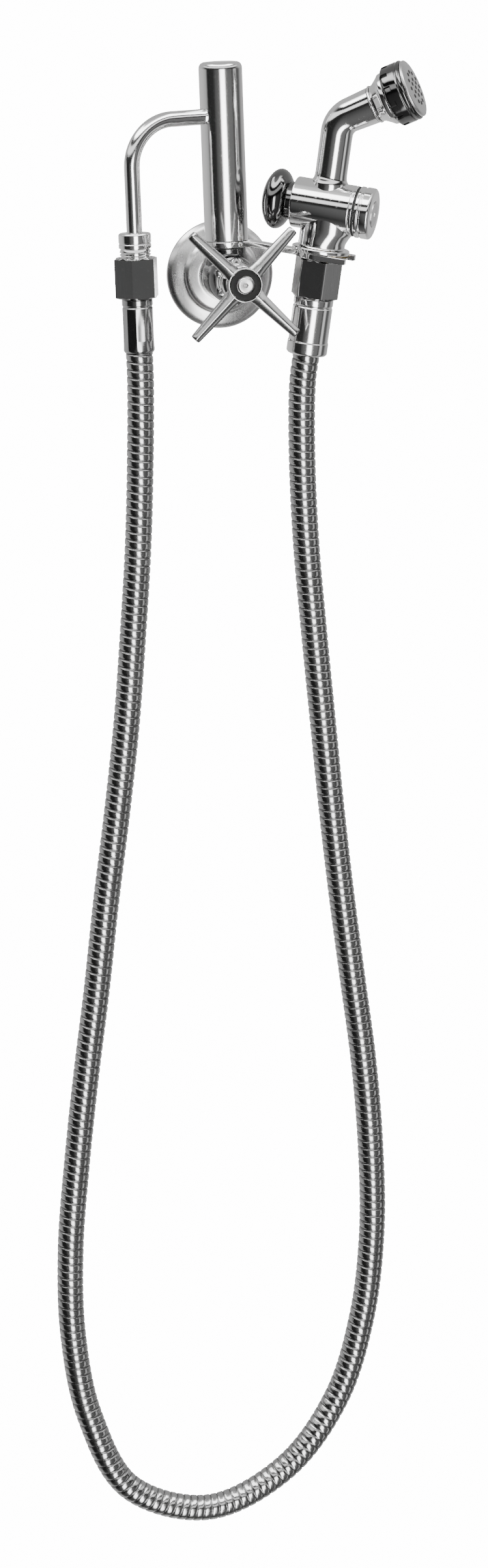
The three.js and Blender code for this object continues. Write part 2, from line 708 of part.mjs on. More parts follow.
const fork = new THREE.Group();
fork.rotation.z = -radians(FORK_TURN);
column.add(fork);

const plateLow = bossTop + GAP;
const drop = radians(FORK_DROP);
const headFar = FORK_ARM + FORK_PRONG + 4;
const slotR = PIPE_R + FORK_PLAY;

// Places a shape made about the rest point (handset axis, on the plate's top) in the fork's frame.
function atRest(geometry) {
  return geometry.translate(FORK_ARM, 0, 0).rotateY(drop).translate(FORK_BEND, 0, plateTop);
}

const bentSide = new THREE.ExtrudeGeometry(outline([
  [-COLUMN_R - 1, plateTop], [-COLUMN_R - 1, plateLow],
  [FORK_BEND - PLATE_T * Math.tan(drop / 2), plateLow],
  [FORK_BEND + headFar * Math.cos(drop) - PLATE_T * Math.sin(drop),
    plateTop - headFar * Math.sin(drop) - PLATE_T * Math.cos(drop)],
  [FORK_BEND + headFar * Math.cos(drop), plateTop - headFar * Math.sin(drop)],
  [FORK_BEND, plateTop],
]), { depth: 60, bevelEnabled: false }).translate(0, 0, -30).rotateX(Math.PI / 2);

const basePlan = join(
  rod(COLUMN_R, plateLow - 30, plateTop + 30),
  box(0, FORK_BEND + 6, -FORK_ARM_W / 2, FORK_ARM_W / 2, plateLow - 30, plateTop + 30),
);
const headOutline = outline([
  [FORK_PRONG, FORK_HEAD_R - 1.5], [FORK_PRONG - 1.5, FORK_HEAD_R], [0, FORK_HEAD_R],
  ...Array.from({ length: 11 }, (_, k) => {
    const angle = Math.PI / 2 + (Math.PI * (k + 1)) / 12;
    return [FORK_HEAD_R * Math.cos(angle), FORK_HEAD_R * Math.sin(angle)];
  }),
  [0, -FORK_HEAD_R], [FORK_PRONG - 1.5, -FORK_HEAD_R], [FORK_PRONG, 1.5 - FORK_HEAD_R],
]);
const headPlan = atRest(join(
  prism(headOutline, -30, 30),
  box(-FORK_ARM - 4, -FORK_HEAD_R + 4, -FORK_ARM_W / 2, FORK_ARM_W / 2, -30, 30),
));
const slot = atRest(join(
  rod(slotR, -40, BIG),
  box(0, FORK_PRONG + 10, -slotR, slotR, -40, BIG),
));
add(fork, 'fork_rest', 'chrome', cut(
  common(bentSide, join(basePlan, headPlan)),
  slot,
  rod(SPIGOT_R + GAP, plateLow - 5, plateTop + 5, MID),
));

// ---- handset, made about its own neck: local z is up the neck, local x along the barrel ------

const forkSlope = new THREE.Group();
forkSlope.position.set(FORK_BEND, 0, plateTop);
forkSlope.rotation.y = drop;
fork.add(forkSlope);
const handset = new THREE.Group();
handset.position.set(FORK_ARM, 0, GAP);
forkSlope.add(handset);

const handNutTop = -(PLATE_T + 2 * GAP);
const handThreadEnd = handNutTop - NUT_ENGAGE;
hoseEnd(
  { nut: handset, tail: handset },
  {
    nut: 'handset_hose_nut',
    washer: 'handset_hose_washer',
    tail: 'handset_hose_tail',
    ferrule: 'handset_ferrule',
  },
  handNutTop, HAND_NUT_WALL, HAND_NUT_LEN, HAND_FERRULE_R, HAND_FERRULE_LEN,
);
add(handset, 'rest_flange', 'chrome', turned([
  [PIPE_R + GAP, 0], [REST_R - 0.5, 0], [REST_R, 0.5], [REST_R, REST_T - 0.5],
  [REST_R - 0.5, REST_T], [PIPE_R + GAP, REST_T],
], BIG));

// Body: neck, barrel across the top and a gusset under the barrel's front. A threaded nipple in
// the neck's socket goes down through the rest flange and the fork into the hose nut.
const neckLow = REST_T + GAP;
const nippleTop = neckLow + NIPPLE_SOCKET;
add(handset, 'handset_nipple', 'brass', ring(NIPPLE_BORE, PIPE_R, handThreadEnd, nippleTop));
const inBarrel = (geometry) => geometry.translate(0, 0, BARREL_Z);
const gussetReach = BARREL_FRONT - GUSSET_SHORT;
const gusset = new THREE.ExtrudeGeometry(outline([
  [0, neckLow], [NECK_R - 0.4, neckLow],
  [gussetReach, neckLow + 0.55 * (BARREL_Z - BARREL_R - neckLow) + 4],
  [gussetReach - 2, BARREL_Z - 8], [0, BARREL_Z - 8],
]), { depth: GUSSET_W, bevelEnabled: false }).translate(0, 0, -GUSSET_W / 2).rotateX(Math.PI / 2);
const spoutPassX = SPOUT_R - SPOUT_WALL - INLET_PASS_R - SPOUT_PASS_WALL;
const bodyShape = join(
  rod(NECK_R, neckLow, BARREL_Z),
  inBarrel(alongX(rod(BARREL_R, -BARREL_BACK, BARREL_FRONT, BIG))),
  gusset,
);
add(handset, 'handset_body', 'chrome', cut(
  bodyShape,
  inBarrel(alongX(rod(BARREL_BORE, -BARREL_BACK - 1, BARREL_FRONT + 1))),
  rod(PIPE_R + GAP, neckLow - 1, nippleTop + GAP),
  rod(INLET_PASS_R, nippleTop, BARREL_Z - 8, SMALL).translate(INLET_PASS_X - 3, 0, 0),
  rod(INLET_PASS_R, BARREL_Z + 8, BARREL_Z + BARREL_R + 2, SMALL).translate(-spoutPassX, 0, 0),
));

// Valve parts along the barrel.
const along = (geometry) => inBarrel(alongX(geometry));
const fitR = BARREL_BORE - GAP;
const seatFace = -HAND_SEAT_X + HAND_SEAT_T;
const handSeat = ring(HAND_SEAT_HOLE_R, fitR, -HAND_SEAT_X, seatFace, MID);
add(handset, 'handset_seat_ring', 'brass', along(handSeat));
const discBack = seatFace + GAP;
const discFront = discBack + VALVE_DISC_T;
const discNutEnd = discFront + GAP + DISC_NUT_T;
const rodHoleR = ROD_R + GAP;
const valveDisc = ring(rodHoleR, VALVE_DISC_R, discBack, discFront, MID);
const discNut = ring(rodHoleR, DISC_NUT_R, discFront + GAP, discNutEnd, SMALL);
add(handset, 'handset_valve_disc', 'rubber', along(valveDisc));
add(handset, 'valve_disc_nut', 'brass', along(discNut));
const capLow = BARREL_FRONT + 2 * GAP + CAP_GASKET_T;
const spigotLow = capLow - CAP_SPIGOT - GAP;
add(handset, 'button_spring', 'steel', along(ring(
  SPRING_IN, SPRING_OUT, discFront + PRESS + GAP, spigotLow - GAP, BIG,
)));
const neckEnd = -BARREL_BACK + BUTTON_LAP;
const guideOut = neckEnd + PRESS + GAP;
const guideIn = guideOut + GUIDE_LEN;
const grooveLow = guideOut + (GUIDE_LEN - ORING_T) / 2;
add(handset, 'button_guide', 'brass', along(turned([
  [rodHoleR, guideOut], [fitR, guideOut], [fitR, guideIn], [rodHoleR, guideIn],
  [rodHoleR, grooveLow + ORING_T + GAP], [ORING_R + GAP, grooveLow + ORING_T + GAP],
  [ORING_R + GAP, grooveLow - GAP], [rodHoleR, grooveLow - GAP],
], MID)));
add(handset, 'guide_oring', 'rubber', along(turned([
  [rodHoleR, grooveLow + 0.5], [rodHoleR + 0.5, grooveLow], [ORING_R - 0.5, grooveLow],
  [ORING_R, grooveLow + 0.5], [ORING_R, grooveLow + ORING_T - 0.5], [ORING_R - 0.5, grooveLow + ORING_T],
  [rodHoleR + 0.5, grooveLow + ORING_T], [rodHoleR, grooveLow + ORING_T - 0.5],
], SMALL)));

// Push button: a flattened ball whose neck slides in the barrel's back end.
const buttonR = BARREL_R + BUTTON_FLARE;
const buttonMiddle = -BARREL_BACK - BUTTON_STAND - BUTTON_HALF;
const buttonFace = buttonMiddle - BUTTON_HALF;
const buttonFloor = buttonFace + BUTTON_FACE_T;
const bossEnd = buttonFloor + BUTTON_BOSS_H;
const rodTip = buttonFace + 0.45 * BUTTON_FACE_T + GAP;
const backEdge = Math.PI - Math.asin((fitR + BUTTON_EDGE) / buttonR);
const buttonCurve = Array.from({ length: BUTTON_STEPS + 1 }, (_, k) => {
  const angle = (backEdge * k) / BUTTON_STEPS;
  return [k === 0 ? 0 : buttonR * Math.sin(angle), buttonMiddle - BUTTON_HALF * Math.cos(angle)];
});
add(handset, 'push_button', 'chrome', along(turned([
  ...buttonCurve, [fitR, buttonCurve[BUTTON_STEPS][1]], [fitR, neckEnd], [fitR - BUTTON_WALL, neckEnd],
  [fitR - BUTTON_WALL, buttonFloor], [BUTTON_BOSS_R, buttonFloor], [BUTTON_BOSS_R, bossEnd],
  [rodHoleR, bossEnd], [rodHoleR, rodTip - GAP], [0, rodTip - GAP],
], BIG)));
add(handset, 'button_rod', 'steel', along(rod(ROD_R, rodTip, discNutEnd + 0.3, SMALL)));

// End cap with its gasket and centre plug.
add(handset, 'cap_gasket', 'rubber', along(ring(
  BARREL_BORE + 0.2, BARREL_R - 0.3, BARREL_FRONT + GAP, BARREL_FRONT + GAP + CAP_GASKET_T,
)));
const capEnd = capLow + CAP_LEN;
const capR = BARREL_R + CAP_PROUD;
add(handset, 'end_cap', 'chrome', along(turned([
  [0, spigotLow], [fitR, spigotLow], [fitR, capLow], [capR, capLow], [capR, capLow + 0.2 * CAP_LEN],
  [capR - 0.7, capLow + 0.25 * CAP_LEN], [capR - 0.7, capLow + 0.35 * CAP_LEN],
  [capR, capLow + 0.4 * CAP_LEN], [capR, capEnd - 1], [capR - 1, capEnd],
  [CAP_PLUG_R + GAP, capEnd], [CAP_PLUG_R + GAP, capEnd - CAP_PLUG_DEPTH], [0, capEnd - CAP_PLUG_DEPTH],
])));
const plugLow = capEnd - CAP_PLUG_DEPTH + GAP;
const plugTop = capEnd + CAP_PLUG_PROUD;
add(handset, 'cap_plug', 'steel', cut(
  along(turned([
    [0, plugLow], [CAP_PLUG_R, plugLow], [CAP_PLUG_R, plugTop - 0.4],
    [CAP_PLUG_R - 0.4, plugTop], [0, plugTop],
  ], MID)),
  along(rod(1.4, plugTop - 1, plugTop + 1, 6)),
));

// ---- spout and spray head -------------------------------------------------------------------

const rise = radians(SPOUT_RISE);
const spoutWay = new THREE.Vector3(Math.cos(rise), 0, Math.sin(rise));
const corner = new THREE.Vector3(0, 0, SPOUT_CORNER);
const spoutPath = bentPath(
  new THREE.Vector3(0, 0, BARREL_Z),
  corner,
  corner.clone().addScaledVector(spoutWay, SPOUT_OUT),
  SPOUT_BEND_R,
);
add(handset, 'spout_elbow', 'chrome', cut(
  pipe(spoutPath, SPOUT_R, SPOUT_R - SPOUT_WALL, ROUND, SPOUT_STEPS),
  along(rod(BARREL_R + GAP, -BARREL_BACK, BARREL_FRONT, BIG)),
));

const head = new THREE.Group();
head.position.copy(corner);
head.rotation.y = Math.PI / 2 - rise;
handset.add(head);
const seamLow = SPOUT_OUT + GAP;
const coneLow = seamLow + SEAM_T + GAP;
const coneTop = coneLow + CONE_LEN;
const seamR = SPOUT_R + SEAM_PROUD;
const coneR = HEAD_R - CONE_INSET;
add(head, 'spout_seam_ring', 'chrome', ring(SPOUT_R - SPOUT_WALL, seamR, seamLow, seamLow + SEAM_T));
add(head, 'spray_cone', 'chrome', turned([
  [seamR - 0.4 - CONE_WALL, coneLow], [seamR - 0.4, coneLow],
  [coneR - 1, coneTop - 1.5], [coneR, coneTop], [coneR - CONE_WALL, coneTop],
], BIG));
const headLow = coneTop + GAP;
const headTop = headLow + HEAD_LEN;
const headBore = HEAD_R - HEAD_WALL;
const headLipR = headBore - HEAD_LIP_W;
const lipTop = headLow + HEAD_LIP;
const headBlank = turned([
  [headLipR, headLow], [HEAD_R - 1.4, headLow], [HEAD_R, headLow + 2], [HEAD_R, headTop - 1],
  [HEAD_R - 0.8, headTop], [headBore, headTop], [headBore, lipTop], [headLipR, lipTop],
], BIG);
const notches = Array.from({ length: NOTCHES }, (_, k) => box(
  HEAD_R - NOTCH_DEPTH, HEAD_R + 3, -NOTCH_W / 2, NOTCH_W / 2, headLow - 1, headLow + 0.4 * HEAD_LEN,
).rotateZ((2 * Math.PI * (k + 0.5)) / NOTCHES));
add(head, 'spray_ring', 'chrome', cut(headBlank, ...notches));
const skirtR = headBore - GAP;
const gasketBase = lipTop + GAP;
const gasketTop = gasketBase + FACE_GASKET_T;
add(head, 'face_gasket', 'rubber', ring(headLipR + 0.5, skirtR, gasketBase, gasketTop));
const faceLow = headTop + GAP;
const faceR = HEAD_R - FACE_INSET;
const rowPitch = (skirtR - FACE_SKIRT_WALL - SPRAY_MARGIN) / (SPRAY_ROWS.length - 1);
const sprayHoles = SPRAY_ROWS.flatMap((count, row) => Array.from({ length: count }, (_, k) => (
  rod(SPRAY_HOLE_R, faceLow - 1, faceLow + FACE_T + FACE_DOME + 1, 6)
    .translate(row * rowPitch, 0, 0)
    .rotateZ((2 * Math.PI * k) / count)
)));
add(head, 'spray_face', 'steel', cut(
  turned([
    [0, faceLow], [skirtR - FACE_SKIRT_WALL, faceLow], [skirtR - FACE_SKIRT_WALL, gasketTop + GAP],
    [skirtR, gasketTop + GAP], [skirtR, faceLow], [faceR, faceLow], [faceR, faceLow + FACE_T - 0.6],
    [faceR - 0.6, faceLow + FACE_T], [0.6 * faceR, faceLow + FACE_T + 0.7 * FACE_DOME],
    [0, faceLow + FACE_T + FACE_DOME],
  ], BIG),
  ...sprayHoles,
));

// ---- hose -----------------------------------------------------------------------------------

// Points along the hose's centre line, from the inlet ferrule down round the loop to the handset.
const HOSE_ROUTE = [
  [-64.9, -45.6, -43.9],
  [-64.9, -45.6, -62],
  [-67, -46, -109],
  [-71, -46, -170],
  [-77, -46, -230],
  [-84, -46, -291],
  [-93, -46, -351],
  [-103, -46, -411],
  [-112, -46, -471],
  [-122, -46, -531],
  [-131, -46, -592],
  [-138, -46, -652],
  [-139, -46, -713],
  [-130, -46, -773],
  [-104, -46, -828],
  [-49, -46, -849],
  [6, -46, -826],
  [44, -46, -779],
  [64, -46, -722],
  [73, -46, -661],
  [74, -46, -600],
  [71, -46, -539],
  [65, -46, -479],
  [59, -46, -418],
  [54, -46, -357],
  [50, -46, -297],
  [46, -46, -236],
  [42.5, -46.5, -175],
  [41.5, -48, -114],
  [43.3, -49, -69],
  [46, -50.4, -51],
].map(([x, y, z]) => new THREE.Vector3(x, y, z));
const hoseLine = new THREE.CatmullRomCurve3(HOSE_ROUTE, false, 'centripetal');
add(sprayer, 'hose', 'steel', pipe(hoseLine, HOSE_R, HOSE_BORE, HOSE_SIDES, HOSE_STEPS));

export default sprayer;
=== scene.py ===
import json
import math

import bpy
import numpy as np
from mathutils import Matrix


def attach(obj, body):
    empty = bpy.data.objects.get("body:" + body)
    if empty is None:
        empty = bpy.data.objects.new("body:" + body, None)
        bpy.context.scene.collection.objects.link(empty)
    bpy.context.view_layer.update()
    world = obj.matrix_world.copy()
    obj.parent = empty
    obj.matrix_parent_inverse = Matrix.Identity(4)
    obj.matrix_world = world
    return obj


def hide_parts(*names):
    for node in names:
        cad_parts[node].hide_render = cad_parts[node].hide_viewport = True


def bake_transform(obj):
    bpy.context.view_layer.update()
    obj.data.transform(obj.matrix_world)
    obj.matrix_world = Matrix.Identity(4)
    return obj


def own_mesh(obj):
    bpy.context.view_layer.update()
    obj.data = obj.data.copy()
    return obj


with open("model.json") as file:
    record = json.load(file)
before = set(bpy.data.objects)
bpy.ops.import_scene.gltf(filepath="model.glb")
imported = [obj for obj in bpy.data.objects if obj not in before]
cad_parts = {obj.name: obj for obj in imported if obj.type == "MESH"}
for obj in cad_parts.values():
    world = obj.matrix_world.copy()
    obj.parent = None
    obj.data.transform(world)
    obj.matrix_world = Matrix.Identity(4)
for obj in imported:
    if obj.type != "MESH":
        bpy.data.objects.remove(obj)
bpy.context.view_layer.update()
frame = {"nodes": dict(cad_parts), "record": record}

# Wall-mounted pet bath sprayer. Lengths below are in millimetres and go into the meshes as
# metres. The wall is the plane y = 0 and the valve stands out along -y.
MM = 0.001

# ---- sizes shared with the CAD model ------------------------------------------------------
COLUMN_Y = -27.0
COLUMN_R = 14.35
COLUMN_LOW, COLUMN_TOP = 24.6, 141.0
PLATE_LOW, PLATE_TOP = 20.3, 24.3
OUTLET_R = 5.15
OUTLET_DEGREES = 196.0
OUTLET_REACH = 67.5
OUTLET_BEND = 30.0
OUTLET_Z = 106.0
FORK_TURN, FORK_DROP = 27.0, 10.0
FORK_BEND, FORK_ARM = 17.6, 46.6
THREAD_R = 10.4
THREAD_PITCH = 1.81
BARREL_R, BARREL_Z = 16.6, 29.7
SPOUT_CORNER, SPOUT_RISE, SPOUT_OUT = 86.7, 31.0, 25.4
HOSE_R = 9.0
HOSE_PITCH = 5.35
HOSE_ROUTE = np.array([
    (-64.9, -45.6, -43.9), (-64.9, -45.6, -62), (-67, -46, -109), (-71, -46, -170), (-77, -46, -230),
    (-84, -46, -291), (-93, -46, -351), (-103, -46, -411), (-112, -46, -471), (-122, -46, -531),
    (-131, -46, -592), (-138, -46, -652), (-139, -46, -713), (-130, -46, -773), (-104, -46, -828),
    (-49, -46, -849), (6, -46, -826), (44, -46, -779), (64, -46, -722), (73, -46, -661),
    (74, -46, -600), (71, -46, -539), (65, -46, -479), (59, -46, -418), (54, -46, -357),
    (50, -46, -297), (46, -46, -236), (42.5, -46.5, -175), (41.5, -48, -114), (43.3, -49, -69),
    (46, -50.4, -51),
])


def unit(v):
    v = np.asarray(v, float)
    return v / np.linalg.norm(v)


# ---- camera -------------------------------------------------------------------------------
VIEW_TURN, VIEW_DROP, VIEW_ROLL = 11.7, 12.3, -2.1  # degrees
VIEW_FROM = np.array([-0.5906, -2.8710, 0.2910])
IMAGE_HEIGHT, FOCAL_PX = 2406, 6741.6


def place_camera():
    """The view line turns VIEW_TURN about z from +y and drops VIEW_DROP; the picture rolls about it."""
    turn, down, roll = (math.radians(a) for a in (VIEW_TURN, VIEW_DROP, VIEW_ROLL))
    ahead = np.array([math.sin(turn) * math.cos(down), math.cos(turn) * math.cos(down), -math.sin(down)])
    side = unit(np.cross(ahead, (0, 0, 1)))
    upward = np.cross(side, ahead)
    right = math.cos(roll) * side + math.sin(roll) * upward
    top = -math.sin(roll) * side + math.cos(roll) * upward
    data = bpy.data.cameras.new("view")
    data.sensor_width = 36.0
    data.sensor_fit = "VERTICAL"
    data.sensor_height = 36.0
    data.lens = 36.0 * FOCAL_PX / IMAGE_HEIGHT
    data.clip_end = 500.0
    camera = bpy.data.objects.new("view", data)
    bpy.context.scene.collection.objects.link(camera)
    rows = np.column_stack([right, top, -ahead, VIEW_FROM]).tolist()
    camera.matrix_world = Matrix(rows + [[0, 0, 0, 1]])
    bpy.context.scene.camera = camera


place_camera()


# ---- shader maths -------------------------------------------------------------------------
class Value:
    """A number socket that takes part in Python arithmetic; each operation adds a Math node."""

    def __init__(self, tree, socket):
        self.tree, self.socket = tree, socket

    def math(self, operation, *others):
        return self.tree.node("ShaderNodeMath", {"operation": operation}, [self, *others])

    def __add__(self, other):
        return self.math("ADD", other)

    def __mul__(self, other):
        return self.math("MULTIPLY", other)

    def __rsub__(self, other):
        return self.tree.node("ShaderNodeMath", {"operation": "SUBTRACT"}, [other, self])

    def __truediv__(self, other):
        return self.math("DIVIDE", other)

    __radd__ = __add__
    __rmul__ = __mul__


class Tree:
    """A node tree being filled in."""

    def __init__(self, tree):
        self.tree = tree
        tree.nodes.clear()

    def node(self, kind, settings=None, inputs=(), output=0):
        """Adds a node: its settings first, then values or links by socket name or place."""
        made = self.tree.nodes.new(kind)
        for name, value in (settings or {}).items():
            if name == "stops":
                ramp = made.color_ramp
                while len(ramp.elements) < len(value):
                    ramp.elements.new(0.5)
                for element, (place, colour) in zip(ramp.elements, value):
                    element.position = place
                    element.color = (*colour, 1) if hasattr(colour, "__len__") else (colour,) * 3 + (1,)
            else:
                setattr(made, name, value)
        pairs = inputs.items() if isinstance(inputs, dict) else enumerate(inputs)
        for name, value in pairs:
            if isinstance(value, Value):
                self.tree.links.new(value.socket, made.inputs[name])
            elif value is not None:
                made.inputs[name].default_value = value
        return Value(self, made.outputs[output]) if len(made.outputs) else None

    def ramp(self, stops, value):
        """A colour ramp with stops (place, level or colour)."""
        return self.node("ShaderNodeValToRGB", {"stops": stops}, [value])

    def mix(self, factor, first, second):
        """Mixes two colours."""
        settings = {"data_type": "RGBA"}
        first, second = (v if isinstance(v, Value) else (*v, 1) for v in (first, second))
        return self.node("ShaderNodeMix", settings, {0: factor, 6: first, 7: second}, output=2)

    def noise(self, scale, detail, vector=None):
        """Soft noise with that many cells a metre, on Object coordinates unless vector says otherwise."""
        inputs = {"Vector": vector or self.place(), "Scale": scale, "Detail": detail}
        return self.node("ShaderNodeTexNoise", {}, inputs)

    def place(self):
        """Object coordinates, in metres from the object's origin."""
        return self.node("ShaderNodeTexCoord", {}, (), output=3)

    def stretched(self, scale):
        """Object coordinates scaled along x, y and z, for marks that run along z."""
        return self.node("ShaderNodeMapping", {}, {"Vector": self.place(), "Scale": scale})

    def attribute(self, name):
        return self.node("ShaderNodeAttribute", {"attribute_name": name}, (), output=2)

    def bump(self, height, distance, strength=1.0):
        return self.node("ShaderNodeBump", {}, {"Height": height, "Distance": distance, "Strength": strength})


def grey(level, warmth=0.0):
    """A grey of that level, a little warmer by warmth."""
    return (level * (1 + warmth), level, level * (1 - warmth))


def finish(name, recipe, **fixed):
    """A Principled material: recipe(tree) gives what varies, fixed what doesn't."""
    material = bpy.data.materials.new(name)
    material.use_nodes = True
    tree = Tree(material.node_tree)
    inputs = {key.replace("_", " "): value for key, value in fixed.items()}
    inputs.update(recipe(tree))
    shader = tree.node("ShaderNodeBsdfPrincipled", {}, inputs)
    tree.node("ShaderNodeOutputMaterial", {}, {"Surface": shader})
    return material


def plated(low, high, gloss=0.045):
    """Plated metal: a faint cloudiness, fine polishing marks and rare dull specks."""
    def recipe(tree):
        cloud = tree.noise(28.0, 3.0)
        marks = tree.noise(900.0, 2.0, tree.stretched((1.0, 1.0, 0.12)))
        specks = tree.ramp([(0.66, 0.0), (0.74, 1.0)], tree.noise(420.0, 1.0))
        return {
            "Base Color": tree.mix(cloud, grey(low), grey(high, 0.004)),
            "Roughness": gloss + 0.05 * cloud + 0.02 * marks + 0.08 * specks,
            "Normal": tree.bump(marks, 0.00002, 0.25),
        }
    return recipe


def brushed(tree):
    """Turned or drawn steel: fine lines that catch the light."""
    lines = tree.noise(1500.0, 2.0, tree.stretched((1.0, 1.0, 0.06)))
    cloud = tree.noise(60.0, 3.0)
    return {
        "Base Color": tree.mix(cloud, grey(0.56), grey(0.72, 0.006)),
        "Roughness": 0.2 + 0.14 * lines + 0.06 * cloud,
        "Normal": tree.bump(lines, 0.00003, 0.4),
    }


def strip_steel(tree):
    """The hose's wound strip: bright crowns, and dull seams where the strip locks, with painted shade in the
    seam groove.
    """
    seam = tree.attribute("seam")
    scuffs = tree.noise(700.0, 3.0)
    wear = tree.noise(35.0, 2.0)
    worn = tree.mix(wear, grey(0.40), grey(0.52, 0.004))
    return {
        # Painted shade: the colour drops to near black in the seam groove, where shade falls between the
        # turns.
        "Base Color": tree.mix(seam, worn, grey(0.06)),
        "Roughness": 0.12 + 0.08 * scuffs + 0.25 * seam,
        "Normal": tree.bump(scuffs, 0.00003, 0.35),
    }


def cast_brass(tree):
    """Machined brass: a cloudy yellow with fine turning marks."""
    cloud = tree.noise(90.0, 3.0)
    marks = tree.noise(1400.0, 2.0, tree.stretched((1.0, 1.0, 0.08)))
    return {
        "Base Color": tree.mix(cloud, (0.50, 0.36, 0.14), (0.74, 0.57, 0.27)),
        "Roughness": 0.26 + 0.16 * marks,
        "Normal": tree.bump(marks, 0.00003, 0.4),
    }


def moulded(dark, light, rough, scale):
    """A moulded or pressed piece: two tones in fine grains and a dimpled surface."""
    def recipe(tree):
        grain = tree.noise(scale, 3.0)
        broad = tree.noise(60.0, 2.0)
        return {
            "Base Color": tree.mix(0.6 * grain + 0.4 * broad, dark, light),
            "Roughness": rough + 0.16 * grain,
            "Normal": tree.bump(grain, 0.00005, 0.5),
        }
    return recipe


CHROME = finish("chrome_plate", plated(0.80, 0.90), Metallic=1.0)
SATIN = finish("satin_plate", plated(0.68, 0.74, 0.24), Metallic=1.0)
CAST = finish("cast_plate", plated(0.44, 0.52, 0.16), Metallic=1.0)
SOFT = finish("soft_plate", plated(0.78, 0.88, 0.09), Metallic=1.0)
# Painted shade: a dimmer copy of the chrome plate, whose lower base colour stands in for the dark
# surroundings reflected in the nuts, bonnet and inlet sleeve.
PAINTED_DIM_PLATE = finish("painted_dim_plate", plated(0.36, 0.46, 0.10), Metallic=1.0)
# Painted shade: a near-black copy of the chrome plate, whose low base colour stands in for the dark
# surroundings reflected in the valve barrel, button and spray ring.
PAINTED_SHADE_PLATE = finish("painted_shade_plate", plated(0.13, 0.20, 0.05), Metallic=1.0)
STEEL = finish("brushed_steel", brushed, Metallic=1.0)
STRIP = finish("hose_strip", strip_steel, Metallic=1.0)
BRASS = finish("machined_brass", cast_brass, Metallic=1.0)
RUBBER = finish("seal_rubber", moulded(grey(0.012), grey(0.035), 0.6, 900.0))
FIBRE = finish("fibre_washer", moulded((0.16, 0.045, 0.028), (0.30, 0.09, 0.06), 0.75, 1300.0))
INK = finish("black_moulding", moulded(grey(0.010), grey(0.024), 0.28, 700.0), Specular_IOR_Level=0.12)
ACETAL = finish("white_moulding", moulded(grey(0.62), grey(0.74, 0.01), 0.4, 600.0))
BY_SLOT = {
    "chrome": CHROME, "stainless": STEEL, "brass": BRASS, "rubber": RUBBER,
    "fibre": FIBRE, "black_plastic": INK, "white_plastic": ACETAL,
}

# ---- surfaces -----------------------------------------------------------------------------
TAU = 2 * math.pi


def shell(grid, loop=False):
    """A closed surface from grid[i, j]: j goes round and joins up. With loop, i joins up too;
    otherwise each end is closed with a fan to the middle of its last ring."""
    m, n, _ = grid.shape
    i = np.arange(m if loop else m - 1)[:, None]
    j = np.arange(n)[None, :]
    nxt, after = (i + 1) % m, (j + 1) % n
    quads = np.stack([i * n + j, i * n + after, nxt * n + after, nxt * n + j], -1).reshape(-1, 4)
    points = grid.reshape(-1, 3)
    fans = np.zeros((0, 3), int)
    if not loop:
        points = np.vstack([points, grid[0].mean(0), grid[-1].mean(0)])
        k = np.arange(n)
        first = np.stack([(k + 1) % n, k, np.full(n, m * n)], -1)
        last = np.stack([(m - 1) * n + k, (m - 1) * n + (k + 1) % n, np.full(n, m * n + 1)], -1)
        fans = np.vstack([first, last])
    tris = np.vstack([quads[:, :3], quads[:, [0, 2, 3]], fans])
    a, b, c = (points[tris[:, k]] for k in range(3))
    if np.einsum("ij,ij->", a, np.cross(b, c)) < 0:
        quads, fans = quads[:, ::-1], fans[:, ::-1]
    return points, quads, fans


def rounded(corners, loop=False, steps=5):
    """A profile from corners (r, h) or (r, h, fillet): each filleted corner becomes a parabola
    that leaves its sides at the fillet's length from the corner."""
    spots = np.array([c[:2] for c in corners], float)
    out = []
    count = len(spots)
    for k, corner in enumerate(corners):
        here = spots[k]
        fillet = corner[2] if len(corner) > 2 else 0.0
        if not fillet or (not loop and k in (0, count - 1)):
            out.append(here)
            continue
        before, after = spots[k - 1] - here, spots[(k + 1) % count] - here
        reach = min(fillet, 0.48 * np.linalg.norm(before), 0.48 * np.linalg.norm(after))
        start, end = here + reach * unit(before), here + reach * unit(after)
        for t in np.linspace(0, 1, steps + 1):
            out.append((1 - t) ** 2 * start + 2 * t * (1 - t) * here + t * t * end)
    return np.array(out)


def turn(corners, loop=False, sides=96, shape=None, steps=5):
    """A profile turned about local z. shape(angle, r, h) may change the radius round the piece."""
    profile = rounded(corners, loop, steps)
    angle = np.linspace(0, TAU, sides, endpoint=False)[None, :]
    r, h = profile[:, :1], profile[:, 1:]
    radius = np.broadcast_to(r, (len(profile), sides)) if shape is None else shape(angle, r, h)
    grid = np.stack([radius * np.cos(angle), radius * np.sin(angle), np.broadcast_to(h, radius.shape)], -1)
    return shell(grid, loop)


def hexagon(flat, first):
    """Radius of a hexagon whose corner lies at angle first: flat / cos(angle from the nearest flat's
    middle), no larger than the chamfered profile's own radius."""
    def radius(angle, r, h):
        off = (angle - first) % (TAU / 6) - TAU / 12
        return np.minimum(r, flat / np.cos(off))
    return radius


def sweep(line, radius, sides=48, across=(0, 1, 0)):
    """A tube along line: ring k lies square to the line there, and radius[k] or radius[k, j] is its size."""
    line = np.asarray(line, float)
    along = np.gradient(line, axis=0)
    along /= np.linalg.norm(along, axis=1)[:, None]
    first = np.cross(np.asarray(across, float), along)
    first /= np.linalg.norm(first, axis=1)[:, None]
    second = np.cross(along, first)
    angle = np.linspace(0, TAU, sides, endpoint=False)[None, :, None]
    radius = np.asarray(radius, float)
    radius = radius[:, None] if radius.ndim == 1 else radius
    spokes = first[:, None] * np.cos(angle) + second[:, None] * np.sin(angle)
    return shell(line[:, None] + radius[..., None] * spokes)


